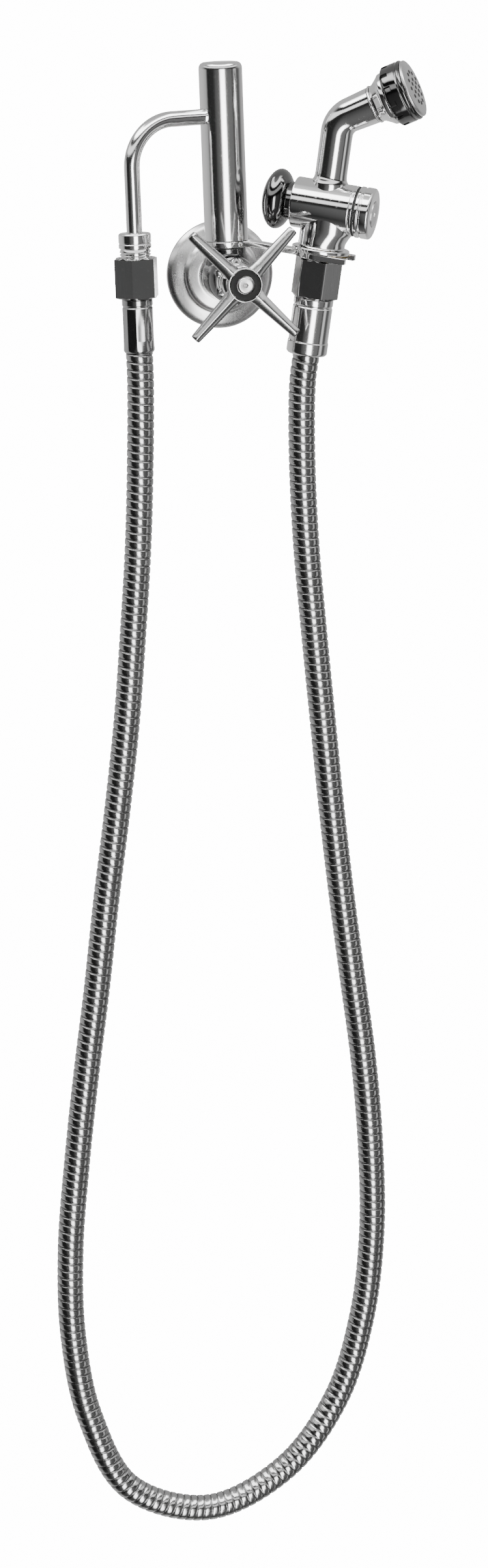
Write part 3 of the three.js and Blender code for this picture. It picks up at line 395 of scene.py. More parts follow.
def bent(start, corner, end, bend, steps=40):
    """A straight run, a circular bend of radius bend and a straight run, as points."""
    start, corner, end = (np.asarray(p, float) for p in (start, corner, end))
    a, b = unit(corner - start), unit(end - corner)
    turned = math.acos(np.clip(a @ b, -1, 1))
    tangent = bend * math.tan(turned / 2)
    side = unit(b - (a @ b) * a)
    t = np.linspace(0, turned, steps)[:, None]
    arc = corner - tangent * a + bend * np.sin(t) * a + bend * (1 - np.cos(t)) * side
    head = np.linspace(start, arc[0], 24, endpoint=False)
    tail = np.linspace(arc[-1], end, 24)[1:]
    return np.vstack([head, arc, tail])


def frame_at(origin, x, y, z):
    return np.asarray(origin, float), np.array([x, y, z], float)


def put(name, shells, material, body, nodes, where=None, sharp=38.0):
    """Puts shells into one mesh at their place, hangs it on the body it rides on and hides the CAD parts it
    stands for.
    """
    origin, axes = where or frame_at((0, 0, 0), (1, 0, 0), (0, 1, 0), (0, 0, 1))
    points, faces, base = [], [], 0
    for spots, quads, fans in shells:
        points.append((spots @ axes + origin) * MM)
        faces += (quads + base).tolist() + (fans + base).tolist()
        base += len(spots)
    mesh = bpy.data.meshes.new(name)
    mesh.from_pydata(np.vstack(points).tolist(), [], faces)
    mesh.shade_smooth()
    mesh.set_sharp_from_angle(angle=math.radians(sharp))
    mesh.materials.append(material)
    obj = bpy.data.objects.new(name, mesh)
    bpy.context.scene.collection.objects.link(obj)
    if body:
        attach(obj, body)
    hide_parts(*nodes)
    return obj


# ---- hose ---------------------------------------------------------------------------------
HOSE_RING_STEP = 0.66
HOSE_SIDES = 24


def between(start, end, u, low, high):
    """The point at u on the straight run from low at start to high at end."""
    return (end - u) / (end - start) * low + (u - start) / (end - start) * high


def smooth_line(points, step):
    """A centripetal Catmull-Rom line through points, with the end points' neighbours mirrored,
    resampled every step along its length."""
    ends = np.vstack([2 * points[0] - points[1], points, 2 * points[-1] - points[-2]])
    knots = np.concatenate([[0], np.cumsum(np.linalg.norm(np.diff(ends, axis=0), axis=1) ** 0.5)])
    pieces = []
    for k in range(1, len(ends) - 2):
        p, t = ends[k - 1:k + 3], knots[k - 1:k + 3]
        u = np.linspace(t[1], t[2], 60, endpoint=False)[:, None]
        a = [between(t[i], t[i + 1], u, p[i], p[i + 1]) for i in range(3)]
        b = [between(t[i], t[i + 2], u, a[i], a[i + 1]) for i in range(2)]
        pieces.append(between(t[1], t[2], u, b[0], b[1]))
    dense = np.vstack([*pieces, points[-1:]])
    run = np.concatenate([[0], np.cumsum(np.linalg.norm(np.diff(dense, axis=0), axis=1))])
    marks = np.linspace(0, run[-1], int(round(run[-1] / step)) + 1)
    return np.column_stack([np.interp(marks, run, dense[:, k]) for k in range(3)]), marks


def make_hose():
    """A strip wound into a tube: the radius depends on the phase (length / pitch + angle / one turn),
    with a crowned strip over most of the pitch and a narrow seam where one turn locks in the next."""
    line, run = smooth_line(HOSE_ROUTE, HOSE_RING_STEP)
    angle = np.linspace(0, 1, HOSE_SIDES, endpoint=False)
    phase = (run[:, None] / HOSE_PITCH + angle[None, :]) % 1.0
    crown = 0.12 * np.sin(math.pi * np.clip(phase / 0.78, 0, 1)) ** 0.6
    seam = np.clip((phase - 0.76) / 0.08, 0, 1) * np.clip((1.0 - phase) / 0.06, 0, 1)
    radius = HOSE_R - 0.12 + crown - 0.6 * seam
    hose = put("hose_winding", [sweep(line, radius, HOSE_SIDES)],
               STRIP, None, ["hose"], sharp=180.0)
    # The seam mask, which also paints shade into the groove in strip_steel.
    marks = hose.data.attributes.new("seam", "FLOAT", "POINT")
    values = np.concatenate([seam.reshape(-1), [0.0, 0.0]]).astype(np.float32)
    marks.data.foreach_set("value", values)
    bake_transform(hose)


make_hose()

# ---- floor, world and lights ----------------------------------------------------------------
FLOOR_Z, FLOOR_HALF = -1.15, 60.0  # metres
BACKDROP = 14.0  # brightness of the floor and the open air behind the object
SOFT_LIGHT = 1.2  # even light on dull surfaces


def make_floor():
    """A square of FLOOR_HALF to each side at FLOOR_Z that glows, so it takes no shadow."""
    data = bpy.data.meshes.new("floor")
    corners = [(x * FLOOR_HALF, y * FLOOR_HALF, FLOOR_Z) for x, y in ((-1, -1), (1, -1), (1, 1), (-1, 1))]
    data.from_pydata(corners, [], [(0, 1, 2, 3)])

    def recipe(tree):
        speckle = tree.noise(3.0, 2.0)
        pale = tree.mix(speckle, grey(0.97), grey(1.0))
        return {"Base Color": pale, "Emission Color": pale, "Roughness": 0.8 + 0.1 * speckle}

    data.materials.append(finish("pale_floor", recipe, Emission_Strength=BACKDROP))
    obj = bpy.data.objects.new("floor", data)
    bpy.context.scene.collection.objects.link(obj)
    obj.visible_glossy = False
    obj.visible_diffuse = False


# Brightness of the studio as seen from the object, up to LIGHT. ROUND_STOPS goes round it at eye
# level, from behind by the left, front and right. ABOVE_STOPS goes up from the horizon in front.
# BELOW is the ground in front, and BEHIND_ABOVE the upper part behind.
LIGHT = 10.0
BELOW, BEHIND_ABOVE = 0.12, 0.6
ROUND_STOPS = [
    (0.0, 0.9), (0.20, 0.7), (0.262, 0.5), (0.292, 0.02), (0.39, 0.03), (0.425, 0.12), (0.483, 0.20),
    (0.505, 9.0), (0.553, 9.0), (0.566, 0.38), (0.60, 0.20), (0.66, 0.18), (0.685, 0.02), (0.71, 0.9),
    (0.732, 0.9), (0.755, 0.10), (0.80, 0.12), (0.83, 0.40), (1.0, 0.9)]
ABOVE_STOPS = [(0.0, 0.02), (0.18, 0.02), (0.22, 1.8), (0.34, 1.8), (0.38, 0.02), (0.48, 0.03), (0.54, 8.0),
               (0.72, 8.0), (0.77, 1.1), (1.0, 0.7)]


def make_world():
    """Studio light as a function of direction only: mirrored rays see its bands, dull surfaces an even
    light, and behind the object there is one pale tone."""
    world = bpy.data.worlds.new("studio")
    bpy.context.scene.world = world
    world.use_nodes = True
    tree = Tree(world.node_tree)
    way = tree.node("ShaderNodeMapping", {"vector_type": "VECTOR"}, {
        "Vector": tree.node("ShaderNodeTexCoord", {}, (), output=0),
        "Rotation": (0, 0, math.radians(VIEW_TURN)),
    })
    split = tree.node("ShaderNodeSeparateXYZ", {}, [way]).socket.node
    x, y, z = (Value(tree, split.outputs[k]) for k in range(3))
    azimuth = x.math("ARCTAN2", 0.0 - y) / TAU + 0.5
    height = z.math("ARCSINE") / (math.pi / 2)
    around = tree.ramp([(p, v / LIGHT) for p, v in ROUND_STOPS], azimuth)
    above = tree.ramp([(p, v / LIGHT) for p, v in ABOVE_STOPS], height)
    front = tree.ramp([(0.18, 0.0), (0.26, 1.0), (0.74, 1.0), (0.82, 0.0)], azimuth)
    upper = tree.ramp([(0.02, 0.0), (0.10, 1.0)], height)
    lower = tree.ramp([(0.45, 0.0), (0.75, 1.0)], 0.0 - height)
    band = tree.mix(upper, around, above)
    band = tree.mix(lower, band, grey(BELOW / LIGHT))
    back = tree.mix(upper, around, grey(BEHIND_ABOVE / LIGHT))
    lit = tree.mix(front, back, band)
    pattern = tree.node("ShaderNodeBackground", {}, {"Color": lit, "Strength": LIGHT})
    plain = tree.node("ShaderNodeBackground", {}, {"Color": (1, 1, 1, 1), "Strength": SOFT_LIGHT})
    mirrored = tree.node("ShaderNodeLightPath", {}, (), output=3)
    seen = tree.node("ShaderNodeLightPath", {}, (), output=0)
    white = tree.node("ShaderNodeBackground", {}, {"Color": (1, 1, 1, 1), "Strength": BACKDROP})
    open_air = tree.node("ShaderNodeMixShader", {}, [seen, plain, white])
    both = tree.node("ShaderNodeMixShader", {}, [mirrored, open_air, pattern])
    tree.node("ShaderNodeOutputWorld", {}, {"Surface": both})


make_floor()
make_world()

# ---- places -------------------------------------------------------------------------------
X, Y, Z = np.eye(3)
VALVE = frame_at((0, 0, 0), X, Z, -Y)  # local z is the distance from the wall
COLUMN = frame_at((0, COLUMN_Y, 0), X, Y, Z)
OUTLET_WAY = np.array([math.cos(math.radians(OUTLET_DEGREES)), math.sin(math.radians(OUTLET_DEGREES)), 0])
INLET = frame_at(COLUMN[0] + OUTLET_REACH * OUTLET_WAY, X, Y, Z)


def forked():
    """The fork's own frame (x along its bar) and the handset's (z up its neck, x along its barrel)."""
    turn_by, drop = math.radians(FORK_TURN), math.radians(FORK_DROP)
    bar = np.array([math.cos(turn_by), -math.sin(turn_by), 0])
    side = np.array([math.sin(turn_by), math.cos(turn_by), 0])
    along = math.cos(drop) * bar - math.sin(drop) * Z
    up = math.sin(drop) * bar + math.cos(drop) * Z
    bend = COLUMN[0] + FORK_BEND * bar + PLATE_TOP * Z
    return frame_at(COLUMN[0], bar, side, Z), frame_at(bend, along, side, up)


FORK, SLOPE = forked()
HANDSET = (SLOPE[0] + FORK_ARM * SLOPE[1][0] + 0.3 * SLOPE[1][2], SLOPE[1])
EX, EY, UP = HANDSET[1]
BARREL = frame_at(HANDSET[0] + BARREL_Z * UP, -UP, EY, EX)  # local z runs along the barrel
RISE = math.radians(SPOUT_RISE)
HEAD_WAY = math.cos(RISE) * EX + math.sin(RISE) * UP
HEAD = frame_at(HANDSET[0] + SPOUT_CORNER * UP, math.sin(RISE) * EX - math.cos(RISE) * UP, EY, HEAD_WAY)


def threaded(outer, inner, low, high):
    """Corners of a threaded sleeve's outline: a crest and a root in every pitch, and its bore."""
    root = outer - 0.55 * THREAD_PITCH
    corners = [(inner, low), (root, low)]
    for k in range(int((high - low) / THREAD_PITCH)):
        base = low + k * THREAD_PITCH
        corners += [(root, base + 0.12 * THREAD_PITCH), (outer, base + 0.46 * THREAD_PITCH),
                    (outer, base + 0.6 * THREAD_PITCH)]
    return [*corners, (root, high), (inner, high)]


# ---- supply and wall valve ----------------------------------------------------------------
put("flange_dome", [turn([
    (36.0, 0.0), (36.0, 1.7, 1.2), (33.4, 4.3, 3.0), (29.0, 6.1, 4.0), (25.4, 7.3, 1.2), (24.2, 8.9, 0.9),
    (22.6, 10.2, 2.5), (17.4, 11.8, 2.5), (16.6, 12.0, 0.6), (10.7, 12.0), (10.7, 10.4), (16.7, 10.4),
    (21.4, 6.5), (31.6, 2.6), (33.8, 0.0)], loop=True, sides=160)],
    SATIN, "wall_unit", ["wall_flange"], VALVE)
put("supply_thread", [turn(threaded(THREAD_R, 7.0, -28.0, 12.0), loop=True, steps=1)],
    BRASS, "wall_unit", ["supply_shank"], VALVE)
put("wall_washer", [turn([
    (10.7, 0.3, 0.2), (16.0, 0.3, 0.3), (16.0, 1.5, 0.3), (10.7, 1.5, 0.2)], loop=True)],
    FIBRE, "wall_unit", ["shank_washer"], VALVE)


def nut_ring(flat, bore, low, high, degrees, neck=()):
    """A hexagonal nut: the chamfered bar's outline carried round, with a round bore that narrows to
    neck[0] below the height neck[1]."""
    corner = flat / math.cos(TAU / 12)
    widest, bevel = corner + 0.01, 0.4 * (corner - flat)
    profile = [(neck[0] if neck else bore, low, 0.3), (flat - 0.2, low), (widest, low + bevel),
               (widest, low + bevel + 0.3), (widest, high - bevel - 0.3), (widest, high - bevel),
               (flat - 0.2, high), (bore, high, 0.3)]
    if neck:
        profile += [(bore, neck[1]), (neck[0], neck[1])]
    cap = hexagon(flat, math.radians(degrees))
    return turn(profile, loop=True, sides=144,
                shape=lambda angle, r, h: np.where(r < flat - 1, r, cap(angle, r, h)))


put("wall_locknut", [nut_ring(14.5, 10.7, 1.8, 6.2, 12)],
    BRASS, "wall_unit", ["shank_locknut"], VALVE)


def to_valve(solid):
    """Moves a shape made about the column's axis into the valve's frame."""
    points, quads, fans = solid
    world = points @ COLUMN[1] + COLUMN[0]
    return world @ VALVE[1].T, quads, fans


# Painted shade: the valve barrel takes the near-black plate, which stands in for the dark reflections on it.
put("valve_barrel", [
    turn([(12.5, 12.3, 0.4), (12.5, 13.3, 0.6), (14.2, 14.6, 1.5), (16.0, 19.5, 4.0), (16.0, 42.0, 5.0),
          (15.0, 46.2, 2.5), (13.2, 49.3, 1.0), (10.0, 49.3)]),
    to_valve(turn([(14.6, 9.0), (13.6, 14.2, 2.0), (12.6, 16.2, 2.0), (12.6, 20.0, 0.7), (8.0, 20.0),
                   (8.0, 35.0, 0.5), (6.0, 35.6)])),
], PAINTED_SHADE_PLATE, "wall_unit", ["valve_body"], VALVE)
put("bonnet_seal", [turn([
    (10.2, 49.6, 0.2), (13.0, 49.6, 0.3), (13.0, 50.5, 0.3), (10.2, 50.5, 0.2)], loop=True)],
    FIBRE, "wall_unit", ["bonnet_gasket"], VALVE)
# Painted shade: the bonnet takes the dimmer plate, which stands in for the dark reflections on it.
put("bonnet_hex", [
    nut_ring(13.5, 4.3, 50.8, 56.3, 30),
    turn([(4.3, 56.0), (10.8, 56.0), (10.8, 57.0, 0.5), (10.0, 57.6, 0.4), (10.0, 65.3, 0.5), (7.5, 65.3),
          (7.5, 57.3), (4.3, 57.3)], loop=True),
    turn([(4.3, 44.3), (9.9, 44.3, 0.5), (9.9, 51.2), (4.3, 51.2)], loop=True),
], PAINTED_DIM_PLATE, "wall_unit", ["valve_bonnet"], VALVE)
put("packing_cap", [turn([
    (10.3, 58.8, 0.3), (12.4, 58.8, 0.6), (12.4, 61.0, 0.3), (11.8, 61.5, 0.3), (11.8, 62.2, 0.3),
    (12.4, 62.7, 0.3), (12.4, 66.4, 1.2), (10.2, 68.8, 0.9), (4.3, 68.8, 0.2), (4.3, 61.6), (7.2, 61.6),
    (7.2, 65.6), (10.3, 65.6)], loop=True)], CHROME, "wall_unit", ["packing_nut"], VALVE)

# ---- cross handle -------------------------------------------------------------------------
ARM_AT = 78.0
ARM_FROM, ARM_TIP = 6.0, 48.0
HUB_HALF = 5.2


def arm(degrees):
    """One handle arm: a hexagon softened by 0.45 of the way to a circle, carried outwards while its
    radius falls from a flared root to the tip, where it is chamfered."""
    reach = np.concatenate([
        np.linspace(ARM_FROM, 16.0, 14), np.linspace(18.0, 46.6, 14), [47.3, 47.8, ARM_TIP]])
    size = 3.5 + 1.8 * (ARM_TIP - reach) / 36.0 + 2.2 * np.exp(-(reach - ARM_FROM) / 2.6)
    size[-3:] = (3.4, 3.1, 2.5)
    angle = np.linspace(0, TAU, 48, endpoint=False)
    off = angle % (TAU / 6) - TAU / 12
    section = 0.45 + 0.55 * math.cos(TAU / 12) / np.cos(off)
    radius = size[:, None] * section[None, :]
    depth = np.minimum(1.0, HUB_HALF / size)[:, None]
    flat = np.stack([np.broadcast_to(reach[:, None], radius.shape), radius * np.sin(angle),
                     ARM_AT + depth * radius * np.cos(angle)], -1)
    turned = math.radians(degrees)
    x = flat[..., 0] * math.cos(turned) - flat[..., 1] * math.sin(turned)
    y = flat[..., 0] * math.sin(turned) + flat[..., 1] * math.cos(turned)
    return shell(np.stack([x, y, flat[..., 2]], -1))


put("handle_cross", [
    turn([(4.4, 72.3), (8.8, 72.3, 1.0), (11.3, 74.8, 1.5), (11.3, 83.3, 0.7), (10.4, 83.3, 0.2),
          (10.4, 81.9, 0.2), (4.4, 81.9)], loop=True),
    *(arm(a) for a in (45, 135, 225, 315)),
], CAST, "handle", ["cross_handle"], VALVE)
put("index_band", [turn([
    (5.9, 82.2, 0.3), (10.1, 82.2, 0.3), (10.1, 83.9, 0.4), (5.9, 83.9, 0.4)], loop=True)],
    INK, "handle", ["index_ring"], VALVE)


def socket_head(angle, r, h):
    """The screw head's hexagonal socket: a hexagon of 1.5 across its half, cut where r is small."""
    off = angle % (TAU / 6) - TAU / 12
    return np.where(r < 1.7, r * math.cos(TAU / 12) / np.cos(off), np.broadcast_to(r, (len(h), angle.size)))


put("handle_cap_screw", [turn([
    (2.0, 67.0), (2.0, 82.2), (5.5, 82.2, 0.2), (5.5, 83.9, 0.6), (4.6, 84.6, 0.5), (1.65, 84.5, 0.12),
    (1.6, 81.6), (0.2, 80.2)], shape=socket_head)], STEEL, "handle", ["handle_screw"], VALVE)
put("stem_rod", [turn([(3.4, 36.6), (3.4, 40.6), (4.0, 40.9, 0.3), (4.0, 79.2)])],
    STEEL, "handle", ["valve_stem"], VALVE)

# ---- anti-siphon column -------------------------------------------------------------------
VENT_DROP = 10.0
INSIDE_R = 12.55


def vent_eyelet(degrees):
    """A rolled eyelet round a vent hole: a ring with a cup sunk in its middle, made about +z and
    laid along the hole's direction."""
    lip = [(2.5, -0.6), (2.5, 0.05, 0.25), (2.1, 0.32, 0.2), (1.8, 0.2, 0.1), (1.7, -0.05)]
    points, quads, fans = turn(lip, sides=32)
    a = math.radians(degrees)
    way = np.array([math.cos(a), math.sin(a), 0])
    axes = np.array([np.cross(Z, way), Z, way])
    centre = way * (COLUMN_R - 0.02) + (COLUMN_TOP - VENT_DROP) * Z
    return points @ axes + centre, quads, fans


put("column_barrel", [
    turn([(INSIDE_R, COLUMN_LOW), (COLUMN_R, COLUMN_LOW, 0.5), (COLUMN_R, COLUMN_TOP, 4.6), (1.0, COLUMN_TOP),
          (0.5, COLUMN_TOP - 1.5), (INSIDE_R, COLUMN_TOP - 1.5, 4.0)], loop=True, sides=128),
    *(vent_eyelet(a) for a in (60, 90, 120)),
], SOFT, "wall_unit", ["column_tube"], COLUMN)
outlet_line = bent(
    OUTLET_WAY * (COLUMN_R - 1.1) + OUTLET_Z * Z, OUTLET_WAY * OUTLET_REACH + OUTLET_Z * Z,
    OUTLET_WAY * OUTLET_REACH + 26.8 * Z, OUTLET_BEND)
outlet_run = np.concatenate([[0], np.cumsum(np.linalg.norm(np.diff(outlet_line, axis=0), axis=1))])
outlet_r = OUTLET_R + 0.9 * np.exp(-outlet_run)
put("outlet_bend", [sweep(outlet_line, outlet_r, 56, across=np.cross(Z, OUTLET_WAY))],
    SOFT, "wall_unit", ["side_outlet_tube"], COLUMN)

# ---- hose ends ----------------------------------------------------------------------------
put("outlet_collar", [
    turn([(5.5, 24.5), (10.7, 24.5, 0.5), (10.7, 27.0, 0.2), (10.35, 27.3, 0.2), (10.35, 27.8, 0.2),
          (10.7, 28.1, 0.2), (10.7, 33.6, 1.0), (9.6, 34.5, 0.6), (5.5, 34.5, 0.3)], loop=True),
    turn(threaded(THREAD_R - 0.1, 6.0, 8.5, 24.6), loop=True, steps=1),
], CHROME, "wall_unit", ["hose_adapter"], INLET)
# Painted shade: the inlet nut takes the dimmer plate, which stands in for the dark reflections on its faces.
put("inlet_union_nut", [nut_ring(13.0, 10.7, -8.0, 18.5, 10, neck=(7.9, -2.1))],
    PAINTED_DIM_PLATE, "wall_unit", ["inlet_hose_nut"], INLET)


def crimped(sides, depth, low, high):
    """Between low and high the radius dips by depth on each of a number of pressed flats."""
    def radius(angle, r, h):
        press = np.clip((h - low) / 1.5, 0, 1) * np.clip((high - h) / 1.5, 0, 1)
        flats = 1 - np.abs(np.sin(0.5 * sides * angle))
        return r - depth * press * (1 - flats)
    return radius


def ferrule_profile(radius, top, length, foot):
    """A crimped sleeve from top down: a rolled top edge, two crimp grooves and a foot a little wider."""
    end = top - length
    return [(radius - 1.6, top), (radius - 0.2, top, 0.6), (radius, top - 1.2, 0.4), (radius, top - 4.2, 0.3),
            (radius - 0.45, top - 4.8, 0.3), (radius - 0.45, top - 5.6, 0.3), (radius, top - 6.2, 0.3),
            (radius, top - 12.0), (radius, top - 18.0), (radius, top - 24.0), (radius, end + 9.0, 0.6),
            (radius + foot, end + 8.2, 0.4), (radius + foot, end + 1.2, 0.9), (radius - 0.8, end, 0.5),
            (HOSE_R - 0.6, end)]


# Painted shade: the inlet sleeve takes the dimmer plate, which stands in for the dark reflections on it.
put("inlet_sleeve", [turn(
    ferrule_profile(10.15, -8.3, 35.3, 0.05), sides=160, shape=crimped(10, 0.5, -38.0, -14.5))],
    PAINTED_DIM_PLATE, "wall_unit", ["inlet_ferrule"], INLET)
put("handset_sleeve", [turn(ferrule_profile(13.1, -30.6, 37.6, 0.45), sides=160)],
    SOFT, "hose_end", ["handset_ferrule"], HANDSET)
# Painted shade: the handset nut takes the dimmer plate, which stands in for the dark reflections on its
# faces.
put("handset_union_nut", [nut_ring(14.0, 10.7, -30.3, -4.6, -1.7, neck=(7.9, -19.1))],
    PAINTED_DIM_PLATE, "handset", ["handset_hose_nut"], HANDSET)

# ---- fork rest ----------------------------------------------------------------------------
FORK_HALF = 0.5 * (PLATE_TOP - PLATE_LOW)
FORK_EDGE = 0.7  # how much the plate's ends draw in


def flat_strip(line, across, half_width, half_thick, lift):
    """A flat bar along line: its section is a rectangle with rounded corners, from a superellipse
    |u/a|^n + |v/b|^n = 1 with n = 9, across and up from each point of the line."""
    angle = np.linspace(0, TAU, 64, endpoint=False)
    power = 2 / 9
    u = np.sign(np.cos(angle)) * np.abs(np.cos(angle)) ** power * half_width
    v = np.sign(np.sin(angle)) * np.abs(np.sin(angle)) ** power * half_thick
    line, across = np.asarray(line, float), np.asarray(across, float)
    ends = np.ones(len(line))
    ends[[0, -1]] = 1 - FORK_EDGE / half_width
    return shell(line[:, None] + across[:, None] * (u * ends[:, None])[..., None]
                 + np.asarray(lift, float)[:, None] * (v * (0.5 + 0.5 * ends[:, None]))[..., None])


def fork_shells():
    """The base disc, the bent bar and the U round the slot, where they stand in the whole object."""
    disc = turn([(8.3, PLATE_LOW, 0.3), (COLUMN_R, PLATE_LOW, 0.5), (COLUMN_R, PLATE_TOP, 0.5),
                 (8.3, PLATE_TOP, 0.3)], loop=True)
    base = (disc[0] @ FORK[1] + FORK[0], *disc[1:])
    bar, side, along, up = FORK[1][0], FORK[1][1], SLOPE[1][0], SLOPE[1][2]
    bend = SLOPE[0] - FORK_HALF * (Z + up) / 2
    near = bend - (FORK_BEND - 10.0) * bar
    far = SLOPE[0] + (FORK_ARM - 13.0) * along - FORK_HALF * up
    line = bent(near, bend, far, 12.0, steps=10)
    rises = np.gradient(line, axis=0)
    lift = np.cross(rises, np.broadcast_to(side, rises.shape))
    lift /= np.linalg.norm(lift, axis=1)[:, None]
    strip = flat_strip(line, np.broadcast_to(side, line.shape), 6.0, FORK_HALF, lift)
    slot, outer, prong = 10.9, 16.5, 20.5
    middle, half = 0.5 * (slot + outer), 0.5 * (outer - slot)
    sweep_angle = np.linspace(math.pi / 2, 1.5 * math.pi, 48)
    u = np.concatenate([[prong, prong - 0.7], np.linspace(prong - 4, 1, 6), middle * np.cos(sweep_angle),
                        np.linspace(1, prong - 4, 6), [prong - 0.7, prong]])
    v = np.concatenate([[middle] * 8, middle * np.sin(sweep_angle), [-middle] * 8])
    out_u = np.concatenate([[0.0] * 8, np.cos(sweep_angle), [0.0] * 8])
    out_v = np.concatenate([[1.0] * 8, np.sin(sweep_angle), [-1.0] * 8])
    centre = SLOPE[0] + FORK_ARM * along - FORK_HALF * up
    points = centre + u[:, None] * along + v[:, None] * side
    across = out_u[:, None] * along + out_v[:, None] * side
    loop = flat_strip(points, across, half, FORK_HALF, np.broadcast_to(up, points.shape))
    return [base, strip, loop]


put("fork_plate", fork_shells(), CHROME, "wall_unit", ["fork_rest"])

# ---- handset body -------------------------------------------------------------------------
put("rest_collar", [turn([(10.7, 0.0, 0.2), (19.05, 0.0, 0.8), (19.05, 2.8, 0.9), (16.6, 2.8, 0.3),
                          (10.7, 2.8)], loop=True)],
    CHROME, "handset", ["rest_flange"], HANDSET)


def neck_shell():
    """The neck: a circle at the bottom whose front side grows towards the barrel's front as it
    rises, by 4.1 cos(angle) squared on that side, with a rolled foot."""
    height = np.array([3.1, 3.3, 3.9, 4.6, 5.4, 6.6, 8.0, 10.0, 12.0, 14.0, 16.0, 18.0, 20.0, 24.0])
    radius = np.interp(height, [3.1, 3.9, 4.8, 6.0, 24.0], [15.1, 15.5, 15.5, 15.3, 15.3])
    angle = np.linspace(0, TAU, 120, endpoint=False)
    front = np.maximum(np.cos(angle), 0) ** 1.3
    grow = 4.3 * np.clip((height - 5.0) / 9.0, 0, 1) ** 1.4
    r = radius[:, None] + grow[:, None] * front[None, :]
    grid = np.stack([r * np.cos(angle), r * np.sin(angle) * (1 - 0.01 * grow[:, None]),
                     np.broadcast_to(height[:, None], r.shape)], -1)
    return shell(grid)


def in_handset(solid):
    """Moves a shape made about the barrel's axis into the handset's frame."""
    points, quads, fans = solid
    return np.column_stack([points[:, 2], points[:, 1], BARREL_Z - points[:, 0]]), quads, fans


put("handset_casting", [
    neck_shell(),
    in_handset(turn([
        (12.8, -21.5, 0.3), (16.2, -21.5, 0.5), (BARREL_R, -20.6, 0.4), (BARREL_R, 17.6, 0.3),
        (16.25, 17.9, 0.2), (16.25, 18.5, 0.2), (BARREL_R, 18.8, 0.3), (BARREL_R, 20.4, 0.4),
        (12.8, 20.4, 0.3)], loop=True, sides=128)),
], CHROME, "handset", ["handset_body"], HANDSET)
put("cap_seal", [turn([
    (13.0, 20.7, 0.2), (16.3, 20.7, 0.3), (16.3, 21.7, 0.3), (13.0, 21.7, 0.2)], loop=True)],
    RUBBER, "handset", ["cap_gasket"], BARREL)
put("barrel_cap", [turn([
    (12.5, 15.3), (12.5, 22.0), (16.9, 22.0, 0.4), (16.9, 24.0, 0.3), (16.2, 24.5, 0.3), (16.2, 25.5, 0.3),
    (16.9, 26.0, 0.3), (16.9, 31.0, 1.1), (15.4, 32.0, 0.8), (8.5, 32.0, 0.2), (8.5, 30.0),
    (4.0, 30.0)], sides=128)],
    CHROME, "handset", ["end_cap"], BARREL)
put("cap_disc", [turn([
    (4.0, 30.3), (8.2, 30.3), (8.2, 32.5, 0.4), (1.6, 32.5, 0.2), (1.4, 31.6), (0.3, 31.5)])],
    STEEL, "handset", ["cap_plug"], BARREL)
BALL_WIDE, BALL_HALF, BALL_AT, BALL_BACK = 19.75, 10.0, -32.8, 2.41


def ball(steps):
    """Half an ellipse from the button's back edge, BALL_BACK radians round, to the middle of its face."""
    turned = np.linspace(BALL_BACK, 0.02, steps)
    return [(BALL_WIDE * math.sin(a), BALL_AT - BALL_HALF * math.cos(a)) for a in turned]


# Painted shade: the button takes the near-black plate, which stands in for the dark reflections on its back.
put("button_cap", [turn([
    (6.0, -34.2), (6.0, -38.2), (10.9, -38.2), (10.9, -20.0), (12.5, -20.0, 0.3), (12.5, -25.3)] + ball(48),
    sides=144)], PAINTED_SHADE_PLATE, "button", ["push_button"], BARREL)

# ---- spout and spray head -----------------------------------------------------------------
spout_line = bent((0, 0, BARREL_Z + 6.0), (0, 0, SPOUT_CORNER),
                  (SPOUT_OUT * math.cos(RISE), 0, SPOUT_CORNER + SPOUT_OUT * math.sin(RISE)), 16.0)
spout_run = np.concatenate([[0], np.cumsum(np.linalg.norm(np.diff(spout_line, axis=0), axis=1))])
spout_r = np.interp(spout_run, [0, 40, spout_run[-1]], [10.45, 10.55, 12.1])
foot = np.maximum(spout_run - (BARREL_R - 6.0), 0)
spout_r = spout_r + 1.5 * np.exp(-foot / 1.3)
put("spout_tube", [sweep(spout_line, spout_r, 96)], CHROME, "handset", ["spout_elbow"], HANDSET)
put("spout_bead", [turn([(9.0, 25.7), (12.3, 25.7, 0.2), (12.75, 26.1, 0.35), (12.75, 26.9, 0.35),
                         (12.3, 27.3, 0.2), (9.0, 27.3)])],
    CHROME, "handset", ["spout_seam_ring"], HEAD)
put("spray_neck", [turn([
    (10.6, 27.6), (12.2, 27.6, 0.3), (12.6, 29.2, 1.0), (15.6, 33.4, 2.0), (17.3, 35.2, 0.8),
    (17.5, 38.0, 0.3), (15.9, 38.0)], sides=128)],
    CHROME, "handset", ["spray_cone"], HEAD)
NOTCHES, NOTCH_DEPTH, NOTCH_SHARE = 12, 1.5, 0.16


def notched(angle, r, h):
    """The radius drops by NOTCH_DEPTH inside each notch, which takes NOTCH_SHARE of the way to the
    next one on each side of its middle."""
    across = np.abs(((angle / TAU * NOTCHES) % 1.0) - 0.5)
    side = np.clip((NOTCH_SHARE - across) / 0.03, 0, 1)
    length = np.clip((44.2 - h) / 0.5, 0, 1) * (r > 18)
    return r - NOTCH_DEPTH * side * length
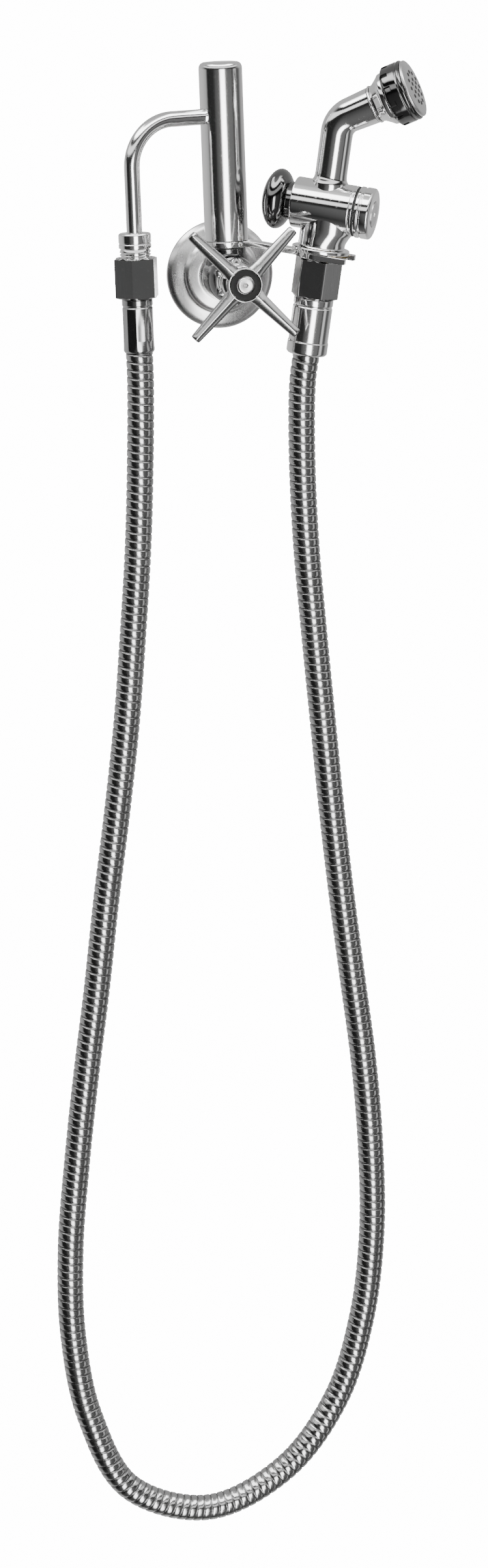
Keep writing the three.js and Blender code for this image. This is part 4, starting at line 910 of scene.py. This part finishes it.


# Painted shade: the spray ring takes the near-black plate, which stands in for the dark reflections on it.
put("spray_band", [turn([
    (13.0, 38.3), (18.6, 38.3, 0.4), (20.2, 39.6, 0.8), (20.2, 41.5), (20.2, 43.6), (20.2, 44.0),
    (20.2, 44.4, 0.1), (20.2, 48.6, 0.3), (19.7, 49.0, 0.3), (19.7, 49.8, 0.3), (20.2, 50.2, 0.3),
    (20.2, 51.5, 0.7), (19.4, 52.3, 0.5), (17.0, 52.3), (17.0, 40.3), (13.0, 40.3)],
    loop=True, sides=288, shape=notched)],
    PAINTED_SHADE_PLATE, "handset", ["spray_ring"], HEAD)
FACE_ROWS = ((0.0, 1), (5.3, 6), (10.6, 12))


def face_height(radius):
    """The face's dome: flat at the rim and 1.0 higher in the middle."""
    return 54.6 + 1.0 * (1 - np.clip(radius / 19.2, 0, 1) ** 2)


def jets():
    """A small rubber nozzle with a sunk mouth at each spray hole."""
    made = []
    for radius, count in FACE_ROWS:
        for k in range(count):
            a = TAU * k / count
            points, quads, fans = turn(
                [(1.45, -0.5), (1.45, 0.02, 0.1), (1.1, 0.28, 0.15), (0.7, 0.24, 0.05), (0.6, -0.3)],
                sides=20, steps=2)
            place = [radius * math.cos(a), radius * math.sin(a), face_height(radius)]
            made.append((points + place, quads, fans))
    return made


rim = np.linspace(18.4, 1.0, 12)
put("spray_plate", [turn([(15.1, 42.9), (16.7, 42.9), (16.7, 52.6), (19.2, 52.6, 0.4), (19.2, 54.2, 0.5),
                          *((float(r), float(face_height(r))) for r in rim)], sides=128)],
    STEEL, "handset", ["spray_face"], HEAD)
put("spray_jets", jets(), RUBBER, "handset", [], HEAD)

# ---- return spring ------------------------------------------------------------------------
SPRING_TURNS, SPRING_FROM, SPRING_TO = 4.5, 5.9, 14.2


def spring_line():
    """A helix of radius 6.8 whose rise is slower over its first and last turn."""
    t = np.linspace(0, 1, 400)
    rise = t - 0.075 * np.sin(TAU * t)
    a = TAU * SPRING_TURNS * t
    return np.column_stack([6.8 * np.cos(a), 6.8 * np.sin(a), SPRING_FROM + (SPRING_TO - SPRING_FROM) * rise])


spring = put("button_coil", [sweep(spring_line(), np.full(400, 0.6), 12, across=(0, 0, 1))],
             STEEL, "handset", ["button_spring"], BARREL, sharp=180.0)
tuple((BARREL[0] + 14.8 * EX) * MM)
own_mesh(spring)

# ---- inner pieces that stay as the CAD has them ---------------------------------------------
for part in frame["record"]["subparts"]:
    shape = frame["nodes"][part["node"]].data
    shape.materials.clear()
    shape.materials.append(BY_SLOT[part["material_slot"]])
